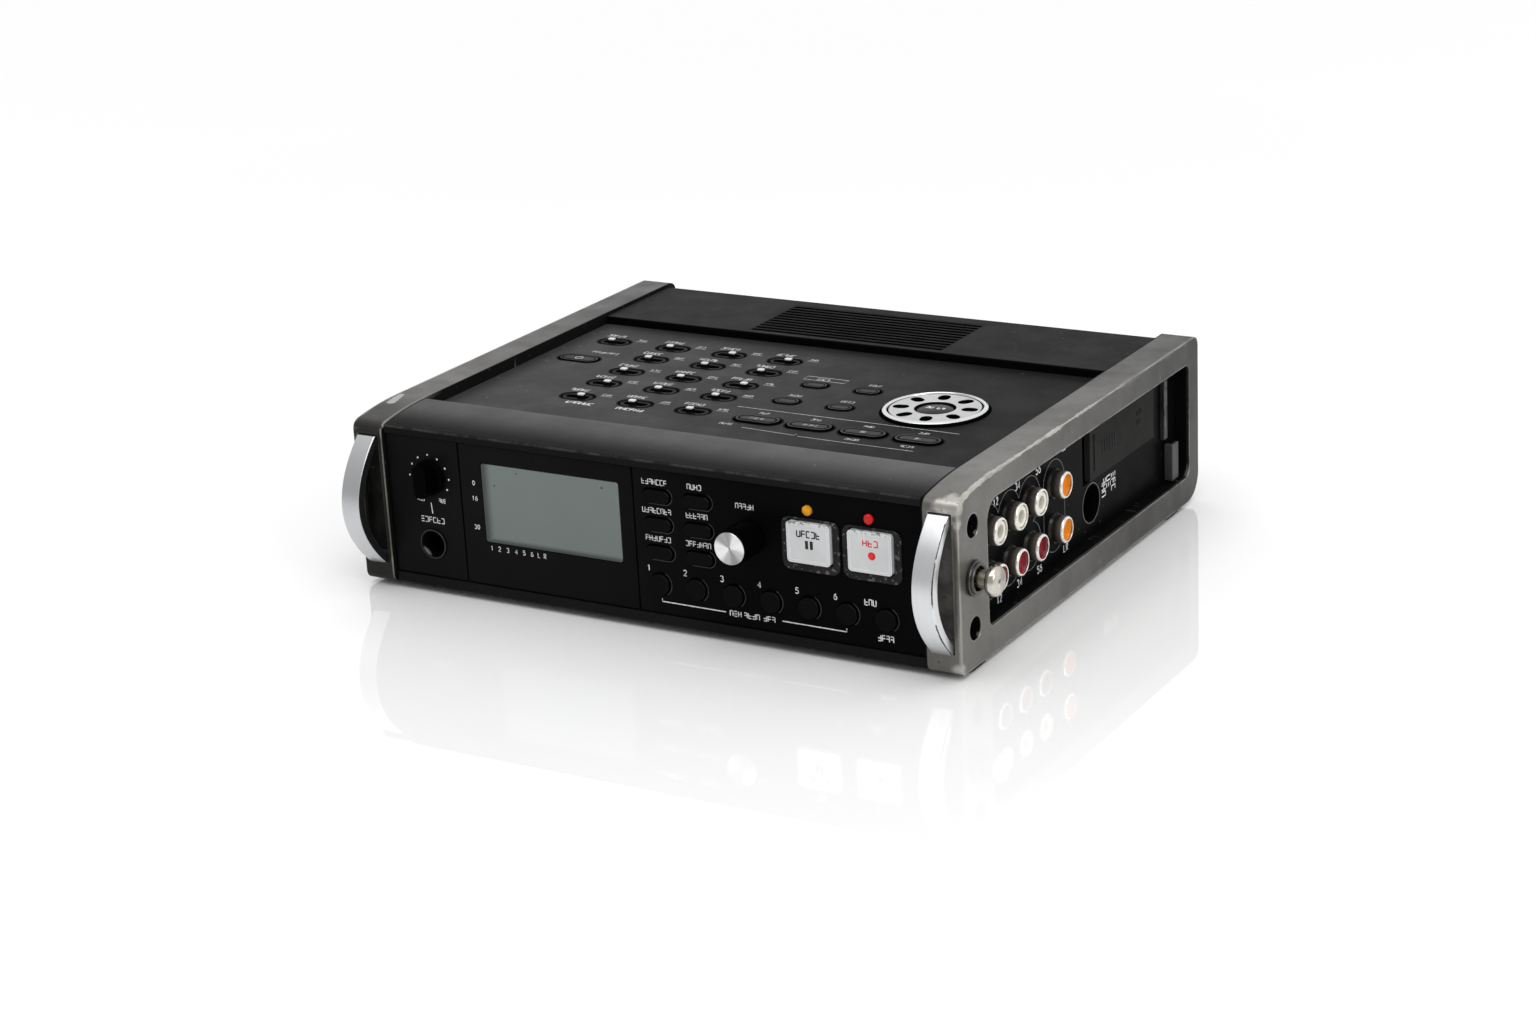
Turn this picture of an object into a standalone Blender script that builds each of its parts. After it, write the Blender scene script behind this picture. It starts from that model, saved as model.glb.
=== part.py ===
"""Portable field recorder: a flat black body between two cast side frames with bow handles."""

import math

import bmesh
import bpy
from mathutils import Matrix, Vector

MM = 0.001

# Overall size. Every length below is in millimetres: x from the middle of the body, y back from
# the front face of the side frames, z up from their underside. FRONT_Y and FOOT_HEIGHT place that
# corner so that the object's origin is the centre of its footprint, at the height of its feet.
FRAME_OUT = 108.0
FRAME_IN = 96.4
FRAME_DEPTH = 178.0
FRAME_HEIGHT = 56.0
FRONT_Y = -82.8
FOOT_HEIGHT = 1.5
GAP = 0.3
BODY_HALF = FRAME_IN - GAP

# Side frame
WINDOW_FRONT, WINDOW_REAR = 19.2, 170.3
WINDOW_LOW, WINDOW_HIGH = 9.0, 48.0
BAND_REAR = 24.0
BAND_RISE_RADIUS = 123.0
POCKET_IN, POCKET_OUT = 98.6, 106.1
POCKET_LOW, POCKET_HIGH = 6.8, 50.2
POCKET_DEPTH = 2.5
SCREW_WELL_RADIUS = 3.65
SCREW_WELL_DEPTH = 6.0
SCREW_WELLS = ((9.7, 43.9), (9.7, 12.1))
PIN_Y, PIN_Z = 9.7, 27.9
PIN_STEM_RADIUS = 2.9

# Bow handle: both curves are parabolas about mid height
HANDLE_IN, HANDLE_OUT = 98.9, 105.8
HANDLE_MID_Z = 28.5
HANDLE_HALF_LENGTH = 21.4
HANDLE_REACH = 12.4
HANDLE_OUTER_CURVE = 0.0247
HANDLE_INNER_REACH = 9.0
HANDLE_INNER_CURVE = 0.0256
HANDLE_LEG_END = 2.2

# Top cover and its controls
DECK_TOP = 52.3
DECK_THICKNESS = 2.0
DECK_REAR = 131.2
SWITCH_COLUMNS = (-80.7, -57.0, -34.7, -12.9)
SWITCH_ROWS = (112.5, 98.5, 83.2, 69.2, 53.4)
SWITCH_SLOT = (12.5, 7.0)
SWITCH_SLOT_DEPTH = 0.9
SWITCH_SLIT = (8.6, 3.4)
SWITCH_KNOB = (2.4, 2.2)
SWITCH_RISE = 1.3
SWITCH_LEFT, SWITCH_RIGHT = -1.1, 1.4
SWITCH_SET_RIGHT = ("a3", "a4", "c3", "d1", "e1")
SMALL_BUTTONS = ((10.3, 91.9), (29.7, 91.9), (10.3, 73.2), (29.7, 73.2))
TRANSPORT_BUTTONS = ((11.6, 52.4), (30.3, 52.4), (49.3, 52.4), (68.4, 52.4))
POWER_BUTTON = (-81.1, 90.8)
SMALL_HOLE = (9.8, 6.4)
TRANSPORT_HOLE = (17.0, 8.0)
POWER_HOLE = (16.0, 7.4)
SPEAKER_X, SPEAKER_Y = 59.6, 81.2
SPEAKER_RADIUS = 17.2
SPEAKER_HOLE_RADIUS = 16.2

# Front panel and its controls
PANEL_FRONT = 1.2
PANEL_THICKNESS = 2.0
PANEL_LOW, PANEL_HIGH = 4.6, 50.8
PANEL_GROOVES = (-68.2, -3.2)
DISPLAY_X, DISPLAY_Z = -34.2, 32.0
DISPLAY_SIZE = (51.8, 26.6)
FUNCTION_COLUMNS = (5.4, 19.7)
FUNCTION_ROWS = (42.6, 33.5, 24.4)
FUNCTION_HOLE = (10.6, 5.0)
TRACK_X0, TRACK_PITCH, TRACK_Z = 4.9, 13.08, 14.1
TRACK_HOLE_RADIUS = 3.8
VALUE_X, VALUE_Z = 37.9, 34.2
VALUE_RADIUS = 5.6
VALUE_FRONT = -11.5
PHONES_X, PHONES_Z = -80.0, 37.9
PHONES_JACK_X, PHONES_JACK_Z = -80.6, 15.5
PHONES_BORE_RADIUS = 3.5
PHONES_COLLAR_RADIUS = 4.8
KEY_COLUMNS = (58.7, 79.3)
KEY_Z = 35.0
KEY_HOLE = (15.6, 13.8)
LAMP_COLUMNS = (58.0, 78.6)
LAMP_Z = 44.9
LAMP_HOLE_RADIUS = 1.7

# Side panels set back inside the frame windows
SIDE_FACE = 102.8
SIDE_WALL = 1.8
SIDE_FLANGE = (94.2, 96.1)
PHONO_RADIUS = 4.8
PHONO_REACH = 107.5
PHONO_BORE_RADIUS = 1.8
PHONO_COLUMNS = (29.8, 44.0, 58.1, 75.7)
PHONO_ROWS = (35.4, 20.8)
SUPPLY_Y, SUPPLY_Z, SUPPLY_RADIUS = 103.0, 20.2, 6.0
CARD_FRONT, CARD_REAR, CARD_LOW, CARD_HIGH = 96.8, 153.0, 27.4, 46.0
CARD_POCKET_DEPTH = 10.0
DOOR_FRONT, DOOR_HINGE_Y, DOOR_HINGE_X = 101.6, 151.5, 102.1
DOOR_FACE = 103.3
COMBO_Y = (36.0, 64.0, 92.0, 120.0)
COMBO_Z = 28.5
COMBO_RADIUS = 11.0
COMBO_DEPTH = 5.0
LINE_JACKS = ((148.0, 38.0), (148.0, 19.0))
JACK_BORE_RADIUS = 3.4

# Rear battery bay and its lid
LID_FRONT, LID_REAR, LID_TOP = 131.5, 176.0, 55.0
CELL_RADIUS, CELL_LENGTH = 7.2, 50.0


def clear_scene():
    """Remove whatever the scene starts with."""
    for obj in list(bpy.data.objects):
        bpy.data.objects.remove(obj, do_unlink=True)


def make_collection(name):
    collection = bpy.data.collections.new(name)
    bpy.context.scene.collection.children.link(collection)
    return collection


def material(name, colour, roughness, metallic=0.0):
    """A plain Principled material in one colour."""
    made = bpy.data.materials.new(name)
    made.use_nodes = True
    shader = made.node_tree.nodes["Principled BSDF"]
    shader.inputs["Base Color"].default_value = (*colour, 1.0)
    shader.inputs["Roughness"].default_value = roughness
    shader.inputs["Metallic"].default_value = metallic
    made.diffuse_color = (*colour, 1.0)
    return made


def place(x, y, z):
    """A point of the object, in metres from its origin."""
    return Vector((x, y + FRONT_Y, z + FOOT_HEIGHT)) * MM


# Planes that flat outlines are drawn on: the two directions of the sheet, then its normal.
TOP = (Vector((1, 0, 0)), Vector((0, 1, 0)), Vector((0, 0, 1)))
FRONT = (Vector((1, 0, 0)), Vector((0, 0, 1)), Vector((0, -1, 0)))
SIDE = (Vector((0, 1, 0)), Vector((0, 0, 1)), Vector((1, 0, 0)))


def plane_matrix(plane, height):
    """Maps a sheet drawn about its own zero to `plane`, with its middle at `height` along the normal."""
    u, v, normal = plane
    matrix = Matrix((u, v, normal)).transposed().to_4x4()
    matrix.translation = place(0, 0, 0) + normal * height * MM
    return matrix


def circle(radius, u=0.0, v=0.0, count=16, phase=0.5):
    """Points round a circle, flat side up so that neighbours stay square."""
    step = 2 * math.pi / count
    return [
        (u + radius * math.cos((i + phase) * step), v + radius * math.sin((i + phase) * step))
        for i in range(count)
    ]


def arc(u, v, radius, start, end, count):
    """Points along an arc, angles in degrees."""
    turn = math.radians(end - start) / count
    first = math.radians(start)
    return [
        (u + radius * math.cos(first + i * turn), v + radius * math.sin(first + i * turn))
        for i in range(count + 1)
    ]


def rounded(width, height, radius, u=0.0, v=0.0, count=3):
    """A rectangle with rounded corners, anticlockwise from the lower right."""
    half_u, half_v = width / 2 - radius, height / 2 - radius
    points = []
    for su, sv, start in ((1, -1, -90), (1, 1, 0), (-1, 1, 90), (-1, -1, 180)):
        points += arc(u + su * half_u, v + sv * half_v, radius, start, start + 90, count)
    return points


def pill(size, u=0.0, v=0.0, count=6):
    """A slot outline: two half circles joined by straight sides."""
    length, width = size
    reach = (length - width) / 2
    right = arc(u + reach, v, width / 2, -90, 90, count)
    left = arc(u - reach, v, width / 2, 90, 270, count)
    return right + left


def link(name, mesh, collection=None):
    obj = bpy.data.objects.new(name, mesh)
    (collection or PARTS).objects.link(obj)
    return obj


def baked(obj):
    """The object's evaluated mesh as a new mesh, in world space, with its seams welded."""
    bpy.context.view_layer.update()
    graph = bpy.context.evaluated_depsgraph_get()
    mesh = bpy.data.meshes.new_from_object(obj.evaluated_get(graph), depsgraph=graph)
    mesh.transform(obj.matrix_world)
    shape = bmesh.new()
    shape.from_mesh(mesh)
    bmesh.ops.remove_doubles(shape, verts=shape.verts, dist=1e-7)
    bmesh.ops.recalc_face_normals(shape, faces=shape.faces)
    shape.to_mesh(mesh)
    shape.free()
    return mesh


def sheet(name, outlines, low, high, plane):
    """A flat piece from `low` to `high` along the plane's normal; the outlines after the first are its holes."""
    curve = bpy.data.curves.new(name + "_outline", "CURVE")
    curve.dimensions = "2D"
    curve.fill_mode = "BOTH"
    curve.extrude = (high - low) / 2 * MM
    for outline in outlines:
        spline = curve.splines.new("POLY")
        spline.points.add(len(outline) - 1)
        for point, (u, v) in zip(spline.points, outline):
            point.co = (u * MM, v * MM, 0, 1)
        spline.use_cyclic_u = True
    drawn = link(name + "_drawn", curve)
    drawn.matrix_world = plane_matrix(plane, (low + high) / 2)
    mesh = baked(drawn)
    bpy.data.objects.remove(drawn)
    return link(name, mesh)


def box(name, low, high):
    """A block between two corners."""
    middle = (place(*low) + place(*high)) / 2
    size = place(*high) - place(*low)
    shape = bmesh.new()
    bmesh.ops.create_cube(shape, size=1.0, matrix=Matrix.Translation(middle) @ Matrix.Diagonal((*size, 1)))
    mesh = bpy.data.meshes.new(name)
    shape.to_mesh(mesh)
    shape.free()
    return link(name, mesh)


def turned(name, profile, centre, plane, steps=20):
    """A turned piece: (radius, height along the plane's normal) pairs, screwed round the axis at `centre`."""
    mesh = bpy.data.meshes.new(name + "_profile")
    points = [(radius * MM, 0, height * MM) for radius, height in profile]
    mesh.from_pydata(points, [(i, i + 1) for i in range(len(points) - 1)], [])
    drawn = link(name + "_drawn", mesh)
    u, v, normal = plane
    drawn.matrix_world = Matrix.Translation(centre) @ Matrix((u, v, normal)).transposed().to_4x4()
    screw = drawn.modifiers.new("Screw", "SCREW")
    screw.steps = steps
    screw.render_steps = steps
    screw.use_merge_vertices = True
    screw.merge_threshold = 0.00001
    made = link(name, baked(drawn))
    bpy.data.objects.remove(drawn)
    return made


def rod(name, radius, low, high, centre, plane, steps=16):
    """A plain round bar along the plane's normal."""
    return turned(name, [(0, high), (radius, high), (radius, low), (0, low)], centre, plane, steps)


def boolean(base, tool, operation):
    """Join or cut with the EXACT solver and keep the plain result."""
    step = base.modifiers.new(operation.title(), "BOOLEAN")
    step.operation = operation
    step.object = tool
    mesh = baked(base)
    base.modifiers.clear()
    base.matrix_world = Matrix()
    base.data = mesh
    bpy.data.objects.remove(tool)


def join(base, *tools):
    for tool in tools:
        boolean(base, tool, "UNION")
    return base


def cut(base, *tools):
    for tool in tools:
        boolean(base, tool, "DIFFERENCE")
    return base


def bevel(obj, width, segments=1, angle=40):
    """Break the sharp edges."""
    step = obj.modifiers.new("Bevel", "BEVEL")
    step.width = width * MM
    step.segments = segments
    step.limit_method = "ANGLE"
    step.angle_limit = math.radians(angle)
    step.use_clamp_overlap = True
    mesh = baked(obj)
    obj.modifiers.clear()
    obj.data = mesh
    return obj


def finish(obj, made_of, origin=None):
    """Give the piece its material, its smooth shading and its origin."""
    if origin is not None:
        obj.data.transform(Matrix.Translation(-origin))
        obj.location = origin
    obj.data.materials.clear()
    obj.data.materials.append(made_of)
    obj.data.shade_smooth()
    obj.data.set_sharp_from_angle(angle=math.radians(32))
    return obj


def band_curve(inset, first, last, count):
    """The gentle rise of the front band, `inset` below the frame's own curve."""
    points = []
    for i in range(count + 1):
        y = first + (last - first) * i / count
        points.append((y, FRAME_HEIGHT - inset - (BAND_REAR - y) ** 2 / (2 * BAND_RISE_RADIUS)))
    return points


def frame_outline():
    """The frame seen from the side: y back, z up, anticlockwise from the front foot."""
    points = arc(FRAME_DEPTH - 9.0, 9.0, 9.0, -90, 0, 5)
    points += arc(FRAME_DEPTH - 3.6, FRAME_HEIGHT - 3.6, 3.6, 0, 90, 4)
    points += list(reversed(band_curve(0, 2.2, BAND_REAR, 6)))
    points += [(1.0, 53.4), (0.25, 52.4), (0.0, 51.2)]
    points += arc(3.0, 3.0, 3.0, 180, 270, 4)
    return points


def window_outline():
    """The opening in the frame, with a large radius at its upper front corner."""
    points = arc(WINDOW_FRONT + 2.5, WINDOW_LOW + 2.5, 2.5, 180, 270, 2)
    points += arc(WINDOW_REAR - 4.0, WINDOW_LOW + 4.0, 4.0, -90, 0, 2)
    points += arc(WINDOW_REAR - 3.0, WINDOW_HIGH - 3.0, 3.0, 0, 90, 2)
    points += arc(WINDOW_FRONT + 6.5, WINDOW_HIGH - 6.5, 6.5, 90, 180, 4)
    return points


def on_side(side, *pieces):
    """Pieces are drawn for the right-hand side; the left-hand ones are the same, mirrored."""
    if side < 0:
        for piece in pieces:
            piece.data.transform(Matrix.Diagonal((-1, 1, 1, 1)))
            piece.data.flip_normals()


def side_frame(name, side, paint):
    """Cast frame with a window, a handle pocket, two screw wells, a pin socket and two feet."""
    frame = sheet(name, [frame_outline(), window_outline()], FRAME_IN, FRAME_OUT, SIDE)
    bevel(frame, 0.9, 2, 50)
    pocket = box("pocket", (POCKET_IN, -3, POCKET_LOW), (POCKET_OUT, POCKET_DEPTH, POCKET_HIGH))
    cut(frame, pocket)
    for y, z in SCREW_WELLS:
        cut(frame, rod("well", SCREW_WELL_RADIUS, -SCREW_WELL_DEPTH, 2, place(FRAME_OUT, y, z), SIDE, 16))
    cut(frame, rod("socket", PIN_STEM_RADIUS + GAP, -8, 2, place(FRAME_OUT, PIN_Y, PIN_Z), SIDE, 16))
    for y in (13.0, 158.0):
        outline = [(103.6 + v, y + u) for u, v in pill((14.0, 7.0), count=5)]
        join(frame, sheet("foot", [outline], -FOOT_HEIGHT, 0.8, TOP))
    on_side(side, frame)
    return finish(frame, paint)


def bow_handle(name, side, metal):
    """Flat bar bowed forward, its two legs standing in the frame's pocket."""
    count = 14
    outer, inner = [], []
    inner_half = math.sqrt((HANDLE_INNER_REACH - 0.8) / HANDLE_INNER_CURVE)
    for i in range(count + 1):
        share = 1 - 2 * i / count
        rise = share * HANDLE_HALF_LENGTH
        outer.append((HANDLE_OUTER_CURVE * rise**2 - HANDLE_REACH, HANDLE_MID_Z + rise))
        rise = share * inner_half
        inner.append((HANDLE_INNER_CURVE * rise**2 - HANDLE_INNER_REACH, HANDLE_MID_Z + rise))
    legs_low = [(HANDLE_LEG_END, outer[-1][1]), (HANDLE_LEG_END, inner[-1][1])]
    legs_high = [(HANDLE_LEG_END, inner[0][1]), (HANDLE_LEG_END, outer[0][1])]
    outline = outer + legs_low + list(reversed(inner)) + legs_high
    handle = sheet(name, [outline], HANDLE_IN, HANDLE_OUT, SIDE)
    bevel(handle, 0.35, 1, 50)
    on_side(side, handle)
    return finish(handle, metal)


def strap_pin(name, side, metal):
    """Washer, stem and button head for a shoulder strap."""
    profile = [
        (0, 8.7),
        (3.9, 8.7),
        (4.6, 8.2),
        (4.85, 7.4),
        (4.85, 5.8),
        (4.4, 5.2),
        (PIN_STEM_RADIUS, 5.0),
        (PIN_STEM_RADIUS, 2.3),
        (4.7, 2.2),
        (5.45, 1.6),
        (5.45, GAP),
        (PIN_STEM_RADIUS, GAP),
        (PIN_STEM_RADIUS, -7.5),
        (0, -7.5),
    ]
    pin = turned(name, profile, place(FRAME_OUT, PIN_Y, PIN_Z), SIDE, 20)
    on_side(side, pin)
    return finish(pin, metal)


def switch_places():
    """(name, x, y) of each slide switch: one row of four, then four rows of three."""
    for row, y in zip("abcde", SWITCH_ROWS):
        columns = SWITCH_COLUMNS if row == "a" else SWITCH_COLUMNS[1:]
        for number, x in enumerate(columns, 1):
            yield f"{row}{number}", x, y


def top_cover(plastic):
    """Front band, sunk control deck with its cut-outs, and the wall in front of the batteries."""
    deck = [(-BODY_HALF, 22.6), (BODY_HALF, 22.6), (BODY_HALF, DECK_REAR), (-BODY_HALF, DECK_REAR)]
    recesses = [pill(SWITCH_SLOT, x, y) for _, x, y in switch_places()]
    holes = [pill(SWITCH_SLIT, x, y, 4) for _, x, y in switch_places()]
    holes += [pill(SMALL_HOLE, x, y) for x, y in SMALL_BUTTONS]
    holes += [pill(TRANSPORT_HOLE, x, y) for x, y in TRANSPORT_BUTTONS]
    holes.append(pill(POWER_HOLE, *POWER_BUTTON))
    holes.append(circle(SPEAKER_HOLE_RADIUS, SPEAKER_X, SPEAKER_Y, 32))
    cover = sheet("top_cover", [deck], DECK_TOP - DECK_THICKNESS, DECK_TOP, TOP)
    cut(cover, sheet("cutouts", holes, DECK_TOP - DECK_THICKNESS - 1, DECK_TOP + 1, TOP))
    cut(cover, sheet("recesses", recesses, DECK_TOP - SWITCH_SLOT_DEPTH, DECK_TOP + 1, TOP))
    outer = [(0.4, 51.2), (0.4, 53.3), (0.9, 54.0)] + band_curve(0.1, 2.2, BAND_REAR - 0.4, 6)
    inner = [(BAND_REAR - 0.4, 49.95), (BAND_REAR - 2.2, 49.95)]
    inner += list(reversed(band_curve(1.9, 2.3, BAND_REAR - 2.2, 4))) + [(2.3, 51.2)]
    band = sheet("band", [outer + inner], -BODY_HALF, BODY_HALF, SIDE)
    wall = box("wall", (-89.0, 129.4, 18.0), (89.0, 131.0, 51.3))
    join(cover, band, wall)
    return finish(cover, plastic)


def bottom_tray(metal):
    """Folded sheet: front lip, floor and rear wall."""
    outer = [(0.8, 4.1), (0.8, 1.3), (1.6, 0.5)] + arc(172.0, 4.5, 4.0, -90, 0, 4) + [(176.0, 49.6)]
    inner = [(174.2, 49.6)] + list(reversed(arc(172.0, 4.5, 2.2, -90, 0, 4))) + [(2.6, 2.3), (2.6, 4.1)]
    tray = sheet("bottom_tray", [outer + inner], -BODY_HALF, BODY_HALF, SIDE)
    return finish(tray, metal)


def battery_lid(plastic):
    """Rear lid with a rounded back edge and a field of finger grooves; it slides off rearwards."""
    outer = [(LID_FRONT, 50.6), (LID_FRONT, 54.3), (LID_FRONT + 0.7, LID_TOP)]
    outer += list(reversed(arc(LID_REAR - 4.0, LID_TOP - 4.0, 4.0, 0, 90, 5))) + [(LID_REAR, 49.9)]
    inner = [(LID_REAR - 1.8, 49.9)] + arc(LID_REAR - 4.0, LID_TOP - 4.0, 2.2, 0, 90, 3)
    inner += [(LID_FRONT + 1.8, LID_TOP - 1.8), (LID_FRONT + 1.8, 50.6)]
    lid = sheet("battery_lid", [outer + inner], -BODY_HALF, BODY_HALF, SIDE)
    for i in range(11):
        y = 134.6 + 2.95 * i
        cut(lid, box("groove", (-39.0, y, LID_TOP - 0.8), (34.6, y + 1.35, LID_TOP + 1)))
    return finish(lid, plastic, place(0, 150, 54))


def speaker_ring(metal):
    """Raised ring over the loudspeaker, pierced by eight radial slots round a sunk hub."""
    slots = []
    for i in range(8):
        angle = math.radians(45 * i + 12)
        turn = Matrix.Rotation(angle, 2)
        slots.append([tuple(turn @ Vector((11.2 + u, v))) for u, v in pill((5.0, 2.5), count=3)])
    slots = [[(SPEAKER_X + u, SPEAKER_Y + v) for u, v in slot] for slot in slots]
    rim = circle(SPEAKER_RADIUS, SPEAKER_X, SPEAKER_Y, 36)
    ring = sheet("speaker_ring", [rim], DECK_TOP + GAP, DECK_TOP + 1.4, TOP)
    bevel(ring, 0.5, 1, 60)
    cut(ring, sheet("slots", slots, DECK_TOP - 1, DECK_TOP + 3, TOP))
    drum = [circle(15.7, SPEAKER_X, SPEAKER_Y, 24), circle(14.2, SPEAKER_X, SPEAKER_Y, 24)]
    join(ring, sheet("drum", drum, DECK_TOP - 3.5, DECK_TOP + 0.8, TOP))
    cut(ring, rod("hub", 6.8, DECK_TOP + 0.9, DECK_TOP + 3, place(SPEAKER_X, SPEAKER_Y, 0), TOP, 24))
    return finish(ring, metal)


def front_panel(plastic):
    """Flat fascia with every cut-out, two seams and the tube of the headphone socket."""
    half = BODY_HALF - 0.2
    face = [(-half, PANEL_LOW), (half, PANEL_LOW), (half, PANEL_HIGH), (-half, PANEL_HIGH)]
    holes = [rounded(*DISPLAY_SIZE, 0.8, DISPLAY_X, DISPLAY_Z, 1)]
    holes += [pill(FUNCTION_HOLE, x, z, 5) for x in FUNCTION_COLUMNS for z in FUNCTION_ROWS]
    holes += [circle(TRACK_HOLE_RADIUS, TRACK_X0 + TRACK_PITCH * i, TRACK_Z, 14) for i in range(7)]
    holes += [rounded(*KEY_HOLE, 1.4, x, KEY_Z, 2) for x in KEY_COLUMNS]
    holes += [circle(LAMP_HOLE_RADIUS, x, LAMP_Z, 10) for x in LAMP_COLUMNS]
    holes.append(circle(2.5, VALUE_X, VALUE_Z, 12))
    holes.append(circle(2.5, PHONES_X, PHONES_Z, 12))
    holes.append(circle(PHONES_COLLAR_RADIUS - 0.5, PHONES_JACK_X, PHONES_JACK_Z, 16))
    rear = PANEL_FRONT + PANEL_THICKNESS
    panel = sheet("front_panel", [face], -rear, -PANEL_FRONT, FRONT)
    cut(panel, sheet("cutouts", holes, -rear - 1, -PANEL_FRONT + 1, FRONT))
    for x in PANEL_GROOVES:
        cut(panel, box("seam", (x - 0.35, 0, 0), (x + 0.35, PANEL_FRONT + 0.7, 60)))
    tube = [circle(PHONES_COLLAR_RADIUS, PHONES_JACK_X, PHONES_JACK_Z, 20)]
    tube.append(circle(PHONES_BORE_RADIUS, PHONES_JACK_X, PHONES_JACK_Z, 16))
    join(panel, sheet("tube", tube, -16.0, -PANEL_FRONT + 0.6, FRONT))
    return finish(panel, plastic)


def display_window(glass):
    """Clear window over the display."""
    outline = rounded(DISPLAY_SIZE[0] - 0.6, DISPLAY_SIZE[1] - 0.6, 0.7, DISPLAY_X, DISPLAY_Z, 1)
    rear = PANEL_FRONT + 2.6
    window = sheet("display_window", [outline], -rear, -PANEL_FRONT - 0.15, FRONT)
    return finish(window, glass)


def push_piece(name, cap, flange, plane, face, rise, depth, made_of, edge=0.35):
    """A push button: a cap that stands `rise` proud of `face` and a wider flange behind the wall."""
    top = face + rise
    button = sheet(name, [cap], face - depth + 0.6, top, plane)
    bevel(button, edge, 1, 60)
    join(button, sheet("flange", [flange], face - depth - 0.6, face - depth + 0.7, plane))
    middle_u = (min(u for u, _ in cap) + max(u for u, _ in cap)) / 2
    middle_v = (min(v for _, v in cap) + max(v for _, v in cap)) / 2
    u, v, normal = plane
    origin = place(0, 0, 0) + (u * middle_u + v * middle_v + normal * top) * MM
    return finish(button, made_of, origin)


def pill_button(name, hole, u, v, plane, face, rise, made_of, gap=0.55):
    cap = pill((hole[0] - 2 * gap, hole[1] - 2 * gap), u, v, 5)
    flange = pill((hole[0] + 1.2, hole[1] + 1.2), u, v, 4)
    return push_piece(name, cap, flange, plane, face, rise, 3.2, made_of)


def slide_switch(name, x, y, made_of):
    """Slide switch: a small upright knob on a plate that closes the slit from below."""
    offset = SWITCH_RIGHT if name[-2:] in SWITCH_SET_RIGHT else SWITCH_LEFT
    plate = pill((16.0, 8.4), x + offset, y, 3)
    switch = sheet(name, [plate], 48.7, 49.8, TOP)
    knob = sheet("knob", [rounded(*SWITCH_KNOB, 0.4, x + offset, y, 1)], 49.5, DECK_TOP + SWITCH_RISE, TOP)
    bevel(knob, 0.2, 1, 60)
    join(switch, knob)
    return finish(switch, made_of, place(x + offset, y, DECK_TOP + SWITCH_RISE))


def value_dial(metal):
    """Long round dial with a turned front face."""
    profile = [
        (0, 11.1),
        (4.6, 11.3),
        (5.1, 11.5),
        (VALUE_RADIUS, 11.0),
        (VALUE_RADIUS, 0.4),
        (5.2, -0.6),
        (2.2, -0.6),
        (2.2, -6.0),
        (0, -6.0),
    ]
    dial = turned("value_dial", profile, place(VALUE_X, 0, VALUE_Z), FRONT, 28)
    return finish(dial, metal, place(VALUE_X, 0, VALUE_Z))


def phones_level_knob(plastic):
    """Round skirt with a bar grip across it."""
    knob = rod("phones_level_knob", 5.8, -0.7, 0.5, place(PHONES_X, 0, PHONES_Z), FRONT, 28)
    grip = sheet("grip", [rounded(4.4, 10.4, 1.5, PHONES_X, PHONES_Z, 3)], 0.1, 4.6, FRONT)
    bevel(grip, 0.4, 1, 60)
    shaft = rod("shaft", 2.1, -6.0, 0.0, place(PHONES_X, 0, PHONES_Z), FRONT, 12)
    join(knob, grip, shaft)
    return finish(knob, plastic, place(PHONES_X, 0, PHONES_Z))


def side_panel(name, side):
    """Shallow tub that fills a frame window from inside: a face, four walls and a flange behind."""
    middle_y, middle_z = (WINDOW_FRONT + WINDOW_REAR) / 2, (WINDOW_LOW + WINDOW_HIGH) / 2
    length = WINDOW_REAR - WINDOW_FRONT - 2 * GAP
    height = WINDOW_HIGH - WINDOW_LOW - 2 * GAP
    outline = rounded(length, height, 6.5, middle_y, middle_z, 3)
    hollow = rounded(length - 2 * SIDE_WALL, height - 2 * SIDE_WALL, 4.8, middle_y, middle_z, 3)
    flange = rounded(length + 5.0, height + 4.0, 2.0, middle_y, middle_z, 1)
    panel = sheet(name, [outline], SIDE_FLANGE[0] + 0.6, SIDE_FACE, SIDE)
    join(panel, sheet("flange", [flange], *SIDE_FLANGE, SIDE))
    cut(panel, sheet("hollow", [hollow], SIDE_FLANGE[0] - 5, SIDE_FACE - SIDE_WALL, SIDE))
    return panel


def connector_panel(plastic):
    """Right-hand panel: eight phono sockets, the supply socket and the pocket behind the card door."""
    panel = side_panel("connector_panel", 1)
    inner = SIDE_FACE - SIDE_WALL
    floor = SIDE_FACE - CARD_POCKET_DEPTH
    middle_y, middle_z = (CARD_FRONT + CARD_REAR) / 2, (CARD_LOW + CARD_HIGH) / 2
    length, height = CARD_REAR - CARD_FRONT, CARD_HIGH - CARD_LOW
    outline = rounded(length + 1.6, height + 1.6, 1.5, middle_y, middle_z, 1)
    shell = sheet("shell", [outline], floor - 1.2, inner + 0.5, SIDE)
    supply = place(0, SUPPLY_Y, SUPPLY_Z)
    barrel = rod("barrel", SUPPLY_RADIUS + 1.0, floor + 0.4, inner + 0.7, supply, SIDE, 20)
    join(panel, shell, barrel)
    cut(panel, box("pocket", (floor, CARD_FRONT, CARD_LOW), (SIDE_FACE + 2, CARD_REAR, CARD_HIGH)))
    cut(panel, rod("bore", SUPPLY_RADIUS, floor + 1.6, SIDE_FACE + 2, supply, SIDE, 20))
    for y, z in ((y, z) for y in PHONO_COLUMNS for z in PHONO_ROWS):
        join(panel, rod("socket", PHONO_RADIUS, inner - 3, PHONO_REACH, place(0, y, z), SIDE, 16))
        cut(panel, rod("hole", PHONO_BORE_RADIUS, PHONO_REACH - 7, PHONO_REACH + 2, place(0, y, z), SIDE, 8))
    join(panel, box("rail", (inner, 158.4, 24.5), (SIDE_FACE + 1.4, 161.2, 45.6)))
    return finish(panel, plastic)


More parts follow.
